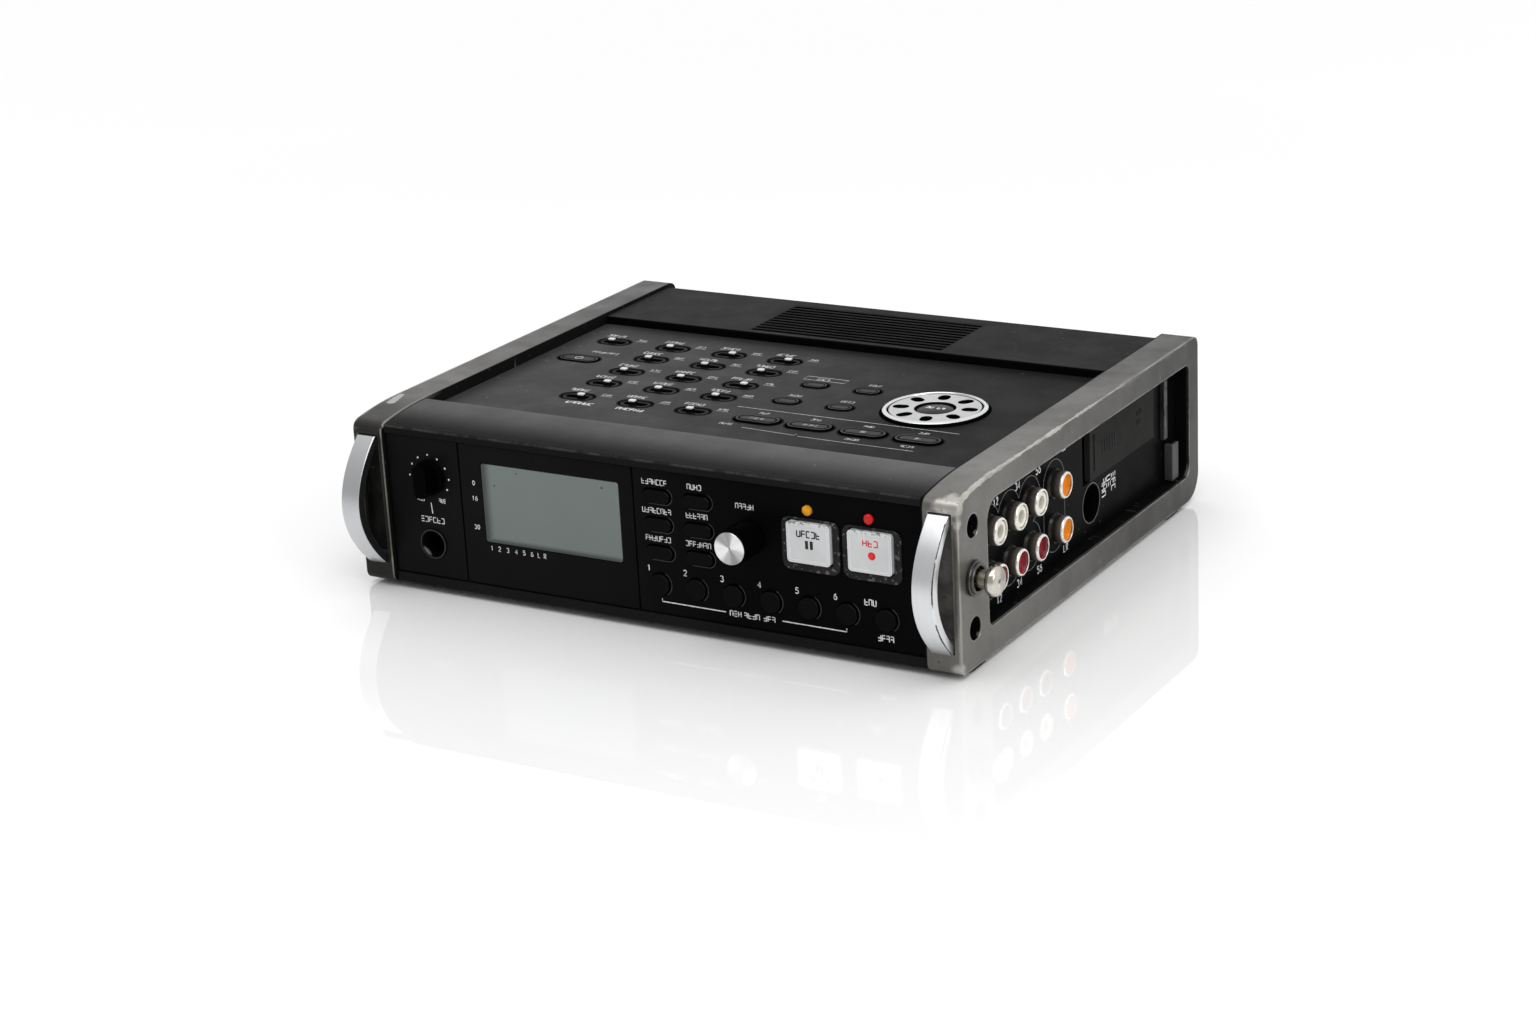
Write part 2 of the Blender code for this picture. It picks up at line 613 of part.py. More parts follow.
def input_panel(plastic):
    """Left-hand panel: four round combination inputs and two line inputs."""
    panel = side_panel("input_panel", -1)
    inner = SIDE_FACE - SIDE_WALL
    for y in COMBO_Y:
        centre = place(0, y, COMBO_Z)
        join(panel, rod("insert", COMBO_RADIUS + 1.2, inner - 11, inner + 0.7, centre, SIDE, 20))
        cut(panel, rod("mouth", COMBO_RADIUS, SIDE_FACE - COMBO_DEPTH, SIDE_FACE + 2, centre, SIDE, 20))
        cut(panel, rod("bore", JACK_BORE_RADIUS, inner - 9.5, SIDE_FACE, centre, SIDE, 12))
        for i in range(3):
            angle = math.radians(90 + 120 * i)
            offset = place(0, y + 7.0 * math.cos(angle), COMBO_Z + 7.0 * math.sin(angle))
            cut(panel, rod("contact", 1.4, inner - 8.5, SIDE_FACE, offset, SIDE, 6))
    for y, z in LINE_JACKS:
        centre = place(0, y, z)
        join(panel, rod("jack", 5.4, inner - 11, SIDE_FACE + 0.8, centre, SIDE, 16))
        cut(panel, rod("bore", JACK_BORE_RADIUS, inner - 9.5, SIDE_FACE + 3, centre, SIDE, 12))
    on_side(-1, panel)
    return finish(panel, plastic)


def card_door(plastic):
    """Door over the card slot, hinged along its rear edge, with a finger gap at its front."""
    middle_z = (CARD_LOW + CARD_HIGH) / 2
    half = (CARD_HIGH - CARD_LOW) / 2 - GAP
    low, high = middle_z - half, middle_z + half
    outline = [(DOOR_FRONT, low), (DOOR_HINGE_Y, low), (DOOR_HINGE_Y, high), (DOOR_FRONT, high)]
    door = sheet("card_door", [outline], DOOR_FACE - 2.0, DOOR_FACE, SIDE)
    knuckle = rod("knuckle", 1.2, low + 0.02, high - 0.02, place(DOOR_HINGE_X, DOOR_HINGE_Y, 0), TOP, 16)
    join(door, knuckle)
    return finish(door, plastic, place(DOOR_HINGE_X, DOOR_HINGE_Y, middle_z))


def cord_hook(plastic):
    """Small hook beside the supply socket that holds its lead."""
    outline = [
        (SIDE_FACE + GAP, 160.4),
        (106.2, 160.4),
        (106.2, 165.6),
        (104.9, 165.6),
        (104.9, 162.0),
        (SIDE_FACE + GAP, 162.0),
    ]
    hook = sheet("cord_hook", [outline], 9.8, 22.4, TOP)
    bevel(hook, 0.3, 1, 60)
    return finish(hook, plastic)


def main_board(laminate):
    """Circuit board on four posts, with its larger components."""
    board = box("main_board", (-86, 20, 12.0), (86, 124, 13.6))
    for x in (-80, 80):
        for y in (26, 118):
            join(board, rod("post", 3.0, 2.6, 13.0, place(x, y, 0), TOP, 10))
    join(board, box("converter", (-70, 40, 13.0), (-30, 70, 17.0)))
    join(board, box("processor", (-8, 60, 13.0), (14, 82, 15.5)))
    join(board, box("supply", (40, 36, 13.0), (76, 62, 22.0)))
    return finish(board, laminate)


def battery_pack(wrap):
    """Eight round cells in two layers on a solid cradle, held by three cross plates."""
    pack = box("battery_pack", (-53.7, 136.5, 2.7), (53.7, 171.0, 18.6))
    join(pack, box("plate", (-1.5, 136.8, 17.0), (1.5, 170.7, 48.6)))
    for x in (-1, 1):
        join(pack, box("plate", (x * 52.3 - 1.2, 136.8, 17.0), (x * 52.3 + 1.2, 170.7, 48.6)))
        for y in (145.9, 161.7):
            for z in (25.2, 41.0):
                low, high = sorted((x * 1.0, x * (CELL_LENGTH + 2.0)))
                join(pack, rod("cell", CELL_RADIUS, low, high, place(0, y, z), SIDE, 16))
    return finish(pack, wrap)


def build():
    frame_paint = material("frame_paint", (0.155, 0.145, 0.13), 0.42, 0.65)
    satin = material("satin_aluminium", (0.72, 0.73, 0.74), 0.28, 1.0)
    nickel = material("nickel", (0.6, 0.57, 0.5), 0.25, 1.0)
    cover_plastic = material("cover_plastic", (0.055, 0.055, 0.057), 0.5)
    fascia_plastic = material("fascia_plastic", (0.012, 0.012, 0.013), 0.38)
    button_plastic = material("button_plastic", (0.02, 0.02, 0.022), 0.45)
    key_plastic = material("key_plastic", (0.62, 0.63, 0.63), 0.35)
    glass = material("display_glass", (0.2, 0.23, 0.22), 0.15)
    ring_metal = material("ring_metal", (0.7, 0.71, 0.72), 0.35, 0.9)
    laminate = material("board_laminate", (0.02, 0.12, 0.05), 0.5)
    cell_wrap = material("cell_wrap", (0.25, 0.18, 0.05), 0.4)
    grey_plastic = material("grey_plastic", (0.1, 0.1, 0.1), 0.45)

    side_frame("side_frame_right", 1, frame_paint)
    side_frame("side_frame_left", -1, frame_paint)
    bow_handle("handle_right", 1, satin)
    bow_handle("handle_left", -1, satin)
    strap_pin("strap_pin_right", 1, nickel)
    strap_pin("strap_pin_left", -1, nickel)
    top_cover(cover_plastic)
    bottom_tray(cover_plastic)
    battery_lid(cover_plastic)
    speaker_ring(ring_metal)
    front_panel(fascia_plastic)
    display_window(glass)
    connector_panel(fascia_plastic)
    input_panel(fascia_plastic)
    card_door(grey_plastic)
    cord_hook(grey_plastic)
    main_board(laminate)
    battery_pack(cell_wrap)

    value_dial(satin)
    phones_level_knob(button_plastic)
    for name, x, y in switch_places():
        slide_switch("slide_switch_" + name, x, y, button_plastic)
    for i, (x, y) in enumerate(SMALL_BUTTONS, 1):
        pill_button(f"menu_button_{i}", SMALL_HOLE, x, y, TOP, DECK_TOP, 0.3, button_plastic, 0.8)
    for i, (x, y) in enumerate(TRANSPORT_BUTTONS, 1):
        pill_button(f"transport_button_{i}", TRANSPORT_HOLE, x, y, TOP, DECK_TOP, 0.5, button_plastic, 0.85)
    pill_button("power_button", POWER_HOLE, *POWER_BUTTON, TOP, DECK_TOP, 0.3, button_plastic, 0.8)
    number = 0
    for z in FUNCTION_ROWS:
        for x in FUNCTION_COLUMNS:
            number += 1
            name = f"function_button_{number}"
            pill_button(name, FUNCTION_HOLE, x, z, FRONT, -PANEL_FRONT, 0.9, button_plastic)
    for i in range(7):
        x = TRACK_X0 + TRACK_PITCH * i
        name = f"track_button_{i + 1}" if i < 6 else "mix_button"
        cap = circle(TRACK_HOLE_RADIUS - 0.45, x, TRACK_Z, 14)
        flange = circle(TRACK_HOLE_RADIUS + 0.7, x, TRACK_Z, 10)
        push_piece(name, cap, flange, FRONT, -PANEL_FRONT, 1.0, 3.2, button_plastic)
    for name, x in zip(("pause_key", "rec_key"), KEY_COLUMNS):
        cap = rounded(KEY_HOLE[0] - 1.0, KEY_HOLE[1] - 1.0, 1.2, x, KEY_Z, 2)
        flange = rounded(KEY_HOLE[0] + 1.4, KEY_HOLE[1] + 1.2, 0.6, x, KEY_Z, 1)
        push_piece(name, cap, flange, FRONT, -PANEL_FRONT, 1.8, 3.6, key_plastic, 0.6)


clear_scene()
PARTS = make_collection("field_recorder")
build()
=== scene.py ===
"""Looks of the portable field recorder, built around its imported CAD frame."""

import math
import random

import bmesh
import bpy
from mathutils import Matrix, Vector


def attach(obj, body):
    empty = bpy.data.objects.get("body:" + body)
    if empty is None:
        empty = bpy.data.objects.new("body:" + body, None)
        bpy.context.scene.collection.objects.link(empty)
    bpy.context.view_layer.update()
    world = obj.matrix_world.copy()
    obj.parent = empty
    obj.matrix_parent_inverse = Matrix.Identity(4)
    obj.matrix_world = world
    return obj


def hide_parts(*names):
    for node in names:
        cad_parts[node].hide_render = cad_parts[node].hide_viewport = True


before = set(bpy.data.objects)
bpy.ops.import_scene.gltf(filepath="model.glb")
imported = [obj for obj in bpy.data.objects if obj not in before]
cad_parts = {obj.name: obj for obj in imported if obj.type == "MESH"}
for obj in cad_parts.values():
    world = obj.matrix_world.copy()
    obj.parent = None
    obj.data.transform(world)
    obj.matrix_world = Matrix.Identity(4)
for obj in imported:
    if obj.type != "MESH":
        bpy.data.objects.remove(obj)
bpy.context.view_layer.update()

MM = 0.001
FIXED = "recorder_body"

# Lengths are millimetres: x from the middle, y back from the front face of the side frames, z up
# from their underside. The scene's origin is the middle of the footprint, at the height of the feet.
FRONT_Y, FOOT_HEIGHT = -82.8, 1.5
FRAME_OUT, FRAME_IN, FRAME_DEPTH, FRAME_HEIGHT = 108.0, 96.4, 178.0, 56.0
BODY_HALF = 96.1
BAND_REAR, BAND_RADIUS = 24.0, 123.0
DECK_TOP, DECK_REAR = 52.3, 131.2
PANEL_FRONT = 1.2
SIDE_FACE = 102.8
WINDOW = (19.2, 170.3, 9.0, 48.0)
PIN = (9.7, 27.9)
WELLS = (43.9, 12.1)
SWITCH_COLUMNS = (-80.7, -57.0, -34.7, -12.9)
SWITCH_ROWS = (112.5, 98.5, 83.2, 69.2, 53.4)
SWITCH_RIGHT = ("a3", "a4", "c3", "d1", "e1")
SWITCH_HOLE, SWITCH_BEZEL, SWITCH_SLIT = (12.5, 7.0), (10.9, 5.4), (8.6, 3.0)
MENU = ((10.3, 91.9), (29.7, 91.9), (10.3, 73.2), (29.7, 73.2))
TRANSPORT = ((11.6, 52.4), (30.3, 52.4), (49.3, 52.4), (68.4, 52.4))
POWER = (-81.1, 90.8)
# Buttons on the deck: name, places, hole, cap, flange, rim line of painted shade, rise, rounding and width of
# the rim line.
DECK_BUTTONS = (
    ("menu_button", MENU, (9.8, 6.4), (8.2, 4.8), (11.0, 7.6), (6.6, 3.2), 0.3, 0.6, 0.5),
    ("transport_button", TRANSPORT, (17.0, 8.0), (15.3, 6.3), (18.2, 9.2), (13.1, 4.1), 0.5, 0.8, 0.75),
    ("power_button", (POWER,), (16.0, 7.4), (14.4, 5.8), (17.2, 8.6), (12.6, 4.0), 0.3, 0.6, 0.6),
)
SPEAKER = (59.6, 81.2)
DISPLAY = (-34.2, 32.0, 51.8, 26.6)
FUNCTION_COLUMNS, FUNCTION_ROWS = (5.4, 19.7), (42.6, 33.5, 24.4)
TRACK_X, TRACK_Z = [4.9 + 13.08 * i for i in range(7)], 14.1
VALUE = (37.9, 34.2)
PHONES = (-80.0, 37.9)
JACK = (-80.6, 15.5)
KEYS, KEY_Z = (58.7, 79.3), 35.0
LAMPS, LAMP_Z = (58.0, 78.6), 44.9
PHONO_COLUMNS, PHONO_ROWS, PHONO_REACH = (29.8, 44.0, 58.1, 75.7), (35.4, 20.8), 107.5
SUPPLY = (103.0, 20.2)
CARD = (96.8, 153.0, 27.4, 46.0)
HINGE = (102.1, 151.5)
COMBO_Y, COMBO_Z = (36.0, 64.0, 92.0, 120.0), 28.5
LINE_JACKS = ((148.0, 38.0), (148.0, 19.0))

ALONG, BACKWARD, UP = Vector((1, 0, 0)), Vector((0, 1, 0)), Vector((0, 0, 1))
TOP = (ALONG, BACKWARD, UP)
FRONT = (ALONG, UP, -BACKWARD)
SIDE = (BACKWARD, UP, ALONG)
LEFT = (-BACKWARD, UP, -ALONG)
BACK = (-ALONG, UP, BACKWARD)


def place(x, y, z):
    """A point of the object, in metres from its origin."""
    return Vector((x, y + FRONT_Y, z + FOOT_HEIGHT)) * MM


def on_plane(plane, u, v, height):
    """The point (u, v) of a plane, `height` along its normal."""
    along, up, normal = plane
    return place(0, 0, 0) + (along * u + up * v + normal * height) * MM


def upright(plane, origin):
    """Matrix at `origin` whose x, y and z run along the plane and its normal."""
    matrix = Matrix(plane).transposed().to_4x4()
    matrix.translation = origin
    return matrix


# ---------------------------------------------------------------- outlines


def arc(u, v, radius, start, end, count):
    turn = math.radians(end - start) / count
    angles = [math.radians(start) + i * turn for i in range(count + 1)]
    return [(u + radius * math.cos(a), v + radius * math.sin(a)) for a in angles]


def circle(radius, u=0.0, v=0.0, count=48):
    return arc(u, v, radius, 0, 360, count)[:-1]


def rounded(width, height, radius, u=0.0, v=0.0, count=6):
    half_u, half_v = width / 2 - radius, height / 2 - radius
    points = []
    for su, sv, start in ((1, -1, -90), (1, 1, 0), (-1, 1, 90), (-1, -1, 180)):
        points += arc(u + su * half_u, v + sv * half_v, radius, start, start + 90, count)
    return points


def pill(size, u=0.0, v=0.0, count=14, more=0.0):
    """Oblong with round ends; `more` is added to its length and width."""
    length, width = size[0] + more, size[1] + more
    reach = (length - width) / 2
    left = arc(u - reach, v, width / 2, 90, 270, count)
    return arc(u + reach, v, width / 2, -90, 90, count) + left


def oblong(left, low, right, high):
    return [(left, low), (right, low), (right, high), (left, high)]


# ---------------------------------------------------------------- solids


def link(name, data):
    obj = bpy.data.objects.new(name, data)
    bpy.context.scene.collection.objects.link(obj)
    return obj


def formed(name, shape):
    """An object from a bmesh, which is freed."""
    mesh = bpy.data.meshes.new(name)
    shape.to_mesh(mesh)
    shape.free()
    return link(name, mesh)


def baked(obj):
    """The object's evaluated mesh in world space, with its seams welded."""
    bpy.context.view_layer.update()
    graph = bpy.context.evaluated_depsgraph_get()
    mesh = bpy.data.meshes.new_from_object(obj.evaluated_get(graph), depsgraph=graph)
    mesh.transform(obj.matrix_world)
    shape = bmesh.new()
    shape.from_mesh(mesh)
    bmesh.ops.remove_doubles(shape, verts=shape.verts, dist=1e-7)
    bmesh.ops.recalc_face_normals(shape, faces=shape.faces)
    shape.to_mesh(mesh)
    shape.free()
    return mesh


def settle(obj):
    """Apply the object's modifiers and its matrix."""
    mesh = baked(obj)
    obj.modifiers.clear()
    obj.matrix_world = Matrix()
    obj.data = mesh
    return obj


def sheet(name, outlines, low, high, plane, edge=0.0, segments=3, angle=50):
    """A flat piece from `low` to `high` along the plane's normal; later outlines are its holes."""
    curve = bpy.data.curves.new(name + "_outline", "CURVE")
    curve.dimensions = "2D"
    curve.fill_mode = "BOTH"
    curve.extrude = (high - low) / 2 * MM
    for outline in outlines:
        spline = curve.splines.new("POLY")
        spline.points.add(len(outline) - 1)
        for point, (u, v) in zip(spline.points, outline):
            point.co = (u * MM, v * MM, 0, 1)
        spline.use_cyclic_u = True
    drawn = link(name + "_drawn", curve)
    drawn.matrix_world = upright(plane, on_plane(plane, 0, 0, (low + high) / 2))
    made = link(name, baked(drawn))
    bpy.data.objects.remove(drawn)
    return bevel(made, edge, segments, angle) if edge else made


def box(name, low, high, edge=0.0):
    middle = (place(*low) + place(*high)) / 2
    size = place(*high) - place(*low)
    shape = bmesh.new()
    matrix = Matrix.Translation(middle) @ Matrix.Diagonal((*size, 1))
    bmesh.ops.create_cube(shape, size=1.0, matrix=matrix)
    made = formed(name, shape)
    return bevel(made, edge) if edge else made


def turned(name, profile, centre, plane, steps=64, lift=0.0):
    """(radius, height above `lift`) pairs, from the top down, turned round `centre`."""
    mesh = bpy.data.meshes.new(name)
    points = [(radius * MM, 0, (height + lift) * MM) for radius, height in profile]
    mesh.from_pydata(points, [(i, i + 1) for i in range(len(points) - 1)], [])
    drawn = link(name, mesh)
    drawn.matrix_world = upright(plane, centre)
    screw = drawn.modifiers.new("Screw", "SCREW")
    screw.steps = screw.render_steps = steps
    screw.use_merge_vertices = True
    screw.merge_threshold = 0.00001
    return settle(drawn)


def rod(name, radius, low, high, centre, plane, steps):
    profile = [(0, high), (radius, high), (radius, low), (0, low)]
    return turned(name, profile, centre, plane, steps)


def combine(base, tools, operation):
    for tool in tools:
        step = base.modifiers.new(operation, "BOOLEAN")
        step.operation = operation
        step.object = tool
        settle(base)
        bpy.data.objects.remove(tool)
    return base


def join(base, *tools):
    return combine(base, tools, "UNION")


def cut(base, *tools):
    return combine(base, tools, "DIFFERENCE")


def bevel(obj, width, segments=3, angle=50):
    step = obj.modifiers.new("Bevel", "BEVEL")
    step.width = width * MM
    step.segments = segments
    step.limit_method = "ANGLE"
    step.angle_limit = math.radians(angle)
    step.use_clamp_overlap = True
    return settle(obj)


def merged(name, objects):
    """One mesh from several separate ones, nothing joined."""
    shape = bmesh.new()
    for obj in objects:
        shape.from_mesh(obj.data)
        bpy.data.objects.remove(obj)
    return formed(name, shape)


def mirror(obj):
    obj.data.transform(Matrix.Diagonal((-1, 1, 1, 1)))
    obj.data.flip_normals()
    return obj


def show(obj, look, node=None, body=FIXED):
    """Hand the piece its material, its shading, its body and the CAD node it stands for."""
    obj.data.materials.clear()
    obj.data.materials.append(look)
    obj.data.shade_smooth()
    obj.data.set_sharp_from_angle(angle=math.radians(38))
    weighted = obj.modifiers.new("Normals", "WEIGHTED_NORMAL")
    weighted.keep_sharp = True
    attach(obj, body)
    if node:
        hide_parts(node)


def show_moving(obj, look, node):
    """A piece of a moving body, which has its only node's name."""
    show(obj, look, node, node)


# ---------------------------------------------------------------- print


class Print:
    """Collects thin strokes, digits and symbols on one plane into one mesh, for print and for painted
    highlights and painted shade.
    """

    def __init__(self, name, plane, height, thick=0.03):
        self.name, self.plane = name, plane
        self.low, self.high = height - 0.01, height + thick
        self.shape = bmesh.new()

    def spot(self, u, v, height):
        return self.shape.verts.new(on_plane(self.plane, u, v, height))

    def stroke(self, points, width, closed=False):
        """A ribbon along `points`."""
        count = len(points)
        rows = []
        for i, (u, v) in enumerate(points):
            before = points[i - 1] if closed or i else points[i]
            after = points[(i + 1) % count] if closed or i < count - 1 else points[i]
            du, dv = after[0] - before[0], after[1] - before[1]
            size = math.hypot(du, dv) or 1.0
            nu, nv = -dv / size * width / 2, du / size * width / 2
            corners = ((1, self.low), (-1, self.low), (-1, self.high), (1, self.high))
            rows.append([self.spot(u + side * nu, v + side * nv, height) for side, height in corners])
        for i in range(count if closed else count - 1):
            near, far = rows[i], rows[(i + 1) % count]
            for k in range(4):
                m = (k + 1) % 4
                self.shape.faces.new((near[k], near[m], far[m], far[k]))
        if not closed:
            self.shape.faces.new(rows[0][::-1])
            self.shape.faces.new(rows[-1])

    def fill(self, points):
        """A solid patch inside a convex outline."""
        low = [self.spot(u, v, self.low) for u, v in points]
        high = [self.spot(u, v, self.high) for u, v in points]
        self.shape.faces.new(high)
        self.shape.faces.new(low[::-1])
        for i in range(len(points)):
            k = (i + 1) % len(points)
            self.shape.faces.new((low[i], low[k], high[k], high[i]))

    def digit(self, text, u, v, tall, width):
        """Digits and letters drawn with single strokes, centred on (u, v)."""
        wide = tall * 0.56
        step = wide * 1.5
        first = u - step * (len(text) - 1) / 2
        for n, char in enumerate(text):
            for line in DIGITS[char]:
                left = first + n * step
                self.stroke([(left + (a - 0.5) * wide, v + (b - 0.5) * tall) for a, b in line], width)

    def legend(self, u, v, letters, tall, width, pitch=0.78, seed=0, turn=0):
        """A row of plain unreadable strokes in the place of a word, centred on (u, v)."""
        draw = random.Random(seed * 7919 + letters)
        step = tall * pitch
        wide = step * 0.68
        for n in range(letters):
            left = (n - letters / 2 + 0.16) * step
            for mark in draw.sample(range(5), 3):
                points = []
                for s, t in STROKES[mark]:
                    p, q = left + s * wide, (t - 0.5) * tall
                    if turn:
                        p, q = -q * turn, p * turn
                    points.append((u + p, v + q))
                self.stroke(points, width)

    def words(self, spots, tall, width, pitch, seed):
        """Legends at (u, v, letters), each with strokes of its own."""
        for n, (u, v, letters) in enumerate(spots):
            self.legend(u, v, letters, tall, width, pitch, seed + n)

    def done(self, look, body=FIXED):
        bmesh.ops.recalc_face_normals(self.shape, faces=self.shape.faces)
        obj = formed(self.name, self.shape)
        obj.data.materials.append(look)
        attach(obj, body)


def half_round(u, v, a, b, start, end, count=8):
    angles = [math.radians(start + (end - start) * i / count) for i in range(count + 1)]
    return [(u + a * math.cos(t), v + b * math.sin(t)) for t in angles]


STROKES = (((0, 0), (0, 1)), ((1, 0), (1, 1)), ((0, 1), (1, 1)), ((0, 0.5), (1, 0.5)), ((0, 0), (1, 0)))
DIGITS = {
    "0": [half_round(0.5, 0.5, 0.5, 0.5, 0, 360, 16)],
    "1": [[(0.2, 0.8), (0.55, 1.0), (0.55, 0.0)]],
    "2": [half_round(0.5, 0.72, 0.46, 0.28, 165, -30) + [(0.0, 0.0), (1.0, 0.0)]],
    "3": [half_round(0.45, 0.76, 0.45, 0.24, 150, -90), half_round(0.45, 0.26, 0.52, 0.26, 90, -150)],
    "4": [[(0.75, 0.0), (0.75, 1.0), (0.0, 0.3), (1.05, 0.3)]],
    "5": [[(0.95, 1.0), (0.15, 1.0), (0.08, 0.55)] + half_round(0.45, 0.32, 0.52, 0.32, 120, -150)],
    "6": [half_round(0.5, 0.3, 0.48, 0.3, 0, 360, 12), [(0.03, 0.35), (0.2, 0.75), (0.75, 1.0)]],
    "L": [[(0.1, 1.0), (0.1, 0.0), (0.9, 0.0)]],
    "R": [
        [(0.05, 0.0), (0.05, 1.0)] + half_round(0.5, 0.75, 0.42, 0.25, 90, -90) + [(0.05, 0.5)],
        [(0.4, 0.5), (0.95, 0.0)],
    ],
}


# ---------------------------------------------------------------- materials


def shade(colour):
    """Red, green and blue; a single number is a grey."""
    return (colour,) * 3 if isinstance(colour, float) else tuple(colour)


class Look:
    """A procedural material, built node by node round one Principled shader."""

    def __init__(self, name, colour, roughness, metallic=0.0, specular=0.5):
        self.made = bpy.data.materials.new(name)
        self.made.use_nodes = True
        self.nodes = self.made.node_tree.nodes
        self.shader = self.nodes["Principled BSDF"]
        self.where = self.node("TexCoord").outputs["Object"]
        self.colour, self.roughness, self.specular = (*shade(colour), 1.0), roughness, specular
        self.put("Metallic", metallic)
        self.settle()

    def settle(self):
        """Put the colour, roughness and specular so far on the shader."""
        self.put("Base Color", self.colour)
        self.put("Roughness", self.roughness)
        self.put("Specular IOR Level", self.specular)
        return self.made

    def put(self, socket, value, node=None):
        target = (node or self.shader).inputs[socket]
        if isinstance(value, bpy.types.NodeSocket):
            self.made.node_tree.links.new(value, target)
        else:
            target.default_value = value

    def node(self, kind, inputs=(), **settings):
        made = self.nodes.new("ShaderNode" + kind)
        for key, value in settings.items():
            setattr(made, key, value)
        pairs = inputs.items() if isinstance(inputs, dict) else enumerate(inputs)
        for key, value in pairs:
            self.put(key, value, made)
        return made

    def math(self, operation, *values):
        return self.node("Math", values, operation=operation).outputs[0]

    def chain(self, operation, first, *rest):
        for value in rest:
            first = self.math(operation, first, value)
        return first

    def times(self, *values):
        return self.chain("MULTIPLY", *values)

    def plus(self, *values):
        return self.chain("ADD", *values)

    def minus(self, first, second):
        return self.math("SUBTRACT", first, second)

    def length(self, *sides):
        """Square root of the sum of squares."""
        return self.math("SQRT", self.plus(*[self.times(side, side) for side in sides]))

    def vector(self, operation, *values):
        """Result of a vector node, as a number where it has one."""
        outputs = self.node("VectorMath", values, operation=operation).outputs
        return outputs["Value"] if operation in ("DISTANCE", "DOT_PRODUCT", "LENGTH") else outputs[0]

    def scaled(self, factors):
        """The object coordinates stretched by a factor along each axis."""
        return self.vector("MULTIPLY", self.where, factors)

    def noise(self, scale, detail, roughness, vector=None):
        inputs = {"Vector": vector or self.where, "Scale": scale, "Detail": detail, "Roughness": roughness}
        return self.node("TexNoise", inputs).outputs[0]

    def ragged(self, size, scale, detail, roughness=0.55):
        """Noise either side of zero, `size` mm in all."""
        return self.times(self.minus(self.noise(scale, detail, roughness), 0.5), size * MM)

    def span(self, value, low, high, to_low=0.0, to_high=1.0):
        """Smooth step of a value between two limits."""
        inputs = (value, low, high, to_low, to_high)
        return self.node("MapRange", inputs, interpolation_type="SMOOTHSTEP").outputs[0]

    def patches(self, scale, detail, low, high, to_low=0.0, to_high=1.0, roughness=0.55, vector=None):
        """Smooth step of a noise."""
        return self.span(self.noise(scale, detail, roughness, vector), low, high, to_low, to_high)

    def steps(self, value, low, high, to_low=0.0, to_high=1.0):
        """Smooth step between two limits in mm."""
        return self.span(value, low * MM, high * MM, to_low, to_high)

    def mix(self, factor, first, second):
        """Mix of two numbers."""
        return self.node("Mix", {0: factor, 2: first, 3: second}, data_type="FLOAT").outputs[0]

    def axis(self, index):
        return self.node("SeparateXYZ", (self.where,)).outputs[index]

    def near(self, point, radius, soft, rough, scale):
        """One within `radius` mm of a point, zero beyond `soft` mm more, with a ragged rim."""
        far = self.vector("DISTANCE", self.where, tuple(place(*point)))
        return self.steps(self.plus(far, self.ragged(rough, scale, 4)), radius + soft, radius)

    def off_axis(self, point, flat):
        """Distance from an axis through a point; `flat` is zero along that axis."""
        centre = tuple(a * b for a, b in zip(place(*point), flat))
        return self.vector("DISTANCE", self.scaled(flat), centre)

    def within(self, value, low, high, soft=0.15):
        """One between two limits, in mm; `low` may be None."""
        upper = self.steps(value, high + soft, high - soft)
        return upper if low is None else self.times(self.steps(value, low - soft, low + soft), upper)

    def edges(self, width):
        """One on convex and concave edges, about `width` mm wide."""
        round_off = self.node("Bevel", (width * MM,), samples=4).outputs[0]
        normal = self.node("NewGeometry").outputs["Normal"]
        return self.span(self.vector("DOT_PRODUCT", round_off, normal), 0.995, 0.93)

    def faces(self, direction, low, high):
        """One where the surface faces a direction."""
        normal = self.node("NewGeometry").outputs["Normal"]
        return self.span(self.vector("DOT_PRODUCT", normal, direction), low, high)

    def paint(self, mask, colour, roughness=None, metallic=None, specular=None):
        """Cover what the mask marks with another finish."""
        cover = {0: mask, 6: self.colour, 7: (*shade(colour), 1.0)}
        self.colour = self.node("Mix", cover, data_type="RGBA").outputs[2]
        if specular is not None:
            self.specular = self.mix(mask, self.specular, specular)
        if roughness is not None:
            self.roughness = self.mix(mask, self.roughness, roughness)
        if metallic is not None:
            base = self.shader.inputs["Metallic"]
            before = base.links[0].from_socket if base.links else base.default_value
            self.put("Metallic", self.mix(mask, before, metallic))
        return self

    def mottle(self, scale, amount, detail=4.0, vector=None):
        """Uneven brightness, `amount` either way."""
        return self.dim(self.patches(scale, detail, 0.3, 0.7, 1 - amount, 1 + amount, 0.6, vector))

    def dim(self, value):
        """Multiply the colour by a number."""
        plain = not isinstance(self.colour, bpy.types.NodeSocket)
        scaled = self.node("VectorMath", (self.colour[:3] if plain else self.colour,), operation="SCALE")
        self.put("Scale", value, scaled)
        self.colour = scaled.outputs[0]
        return self

    def uneven(self, scale, amount, vector=None):
        """Uneven gloss."""
        shift = self.patches(scale, 5.0, 0.3, 0.7, -amount, amount, 0.6, vector)
        self.roughness = self.plus(self.roughness, shift)
        return self

    def grain(self, scale, depth, detail=3.0, vector=None, height=None):
        """Fine relief, `depth` mm deep."""
        height = height or self.noise(scale, detail, 0.6, vector)
        bump = self.node("Bump", {"Strength": 1.0, "Distance": depth * MM, "Height": height})
        normal = self.shader.inputs["Normal"]
        if normal.links:
            self.put("Normal", normal.links[0].from_socket, bump)
        self.put("Normal", bump.outputs[0])
        return self

    def specks(self, scale, colour, low, high, roughness=None):
        """Scattered small flecks."""
        return self.paint(self.patches(scale, 1.0, low, high, roughness=0.4), colour, roughness)

    def blacken(self, mask):
        """Dead black, without shine, where the mask says."""
        self.paint(mask, 0.0025, 0.7, 0.0, 0.0)


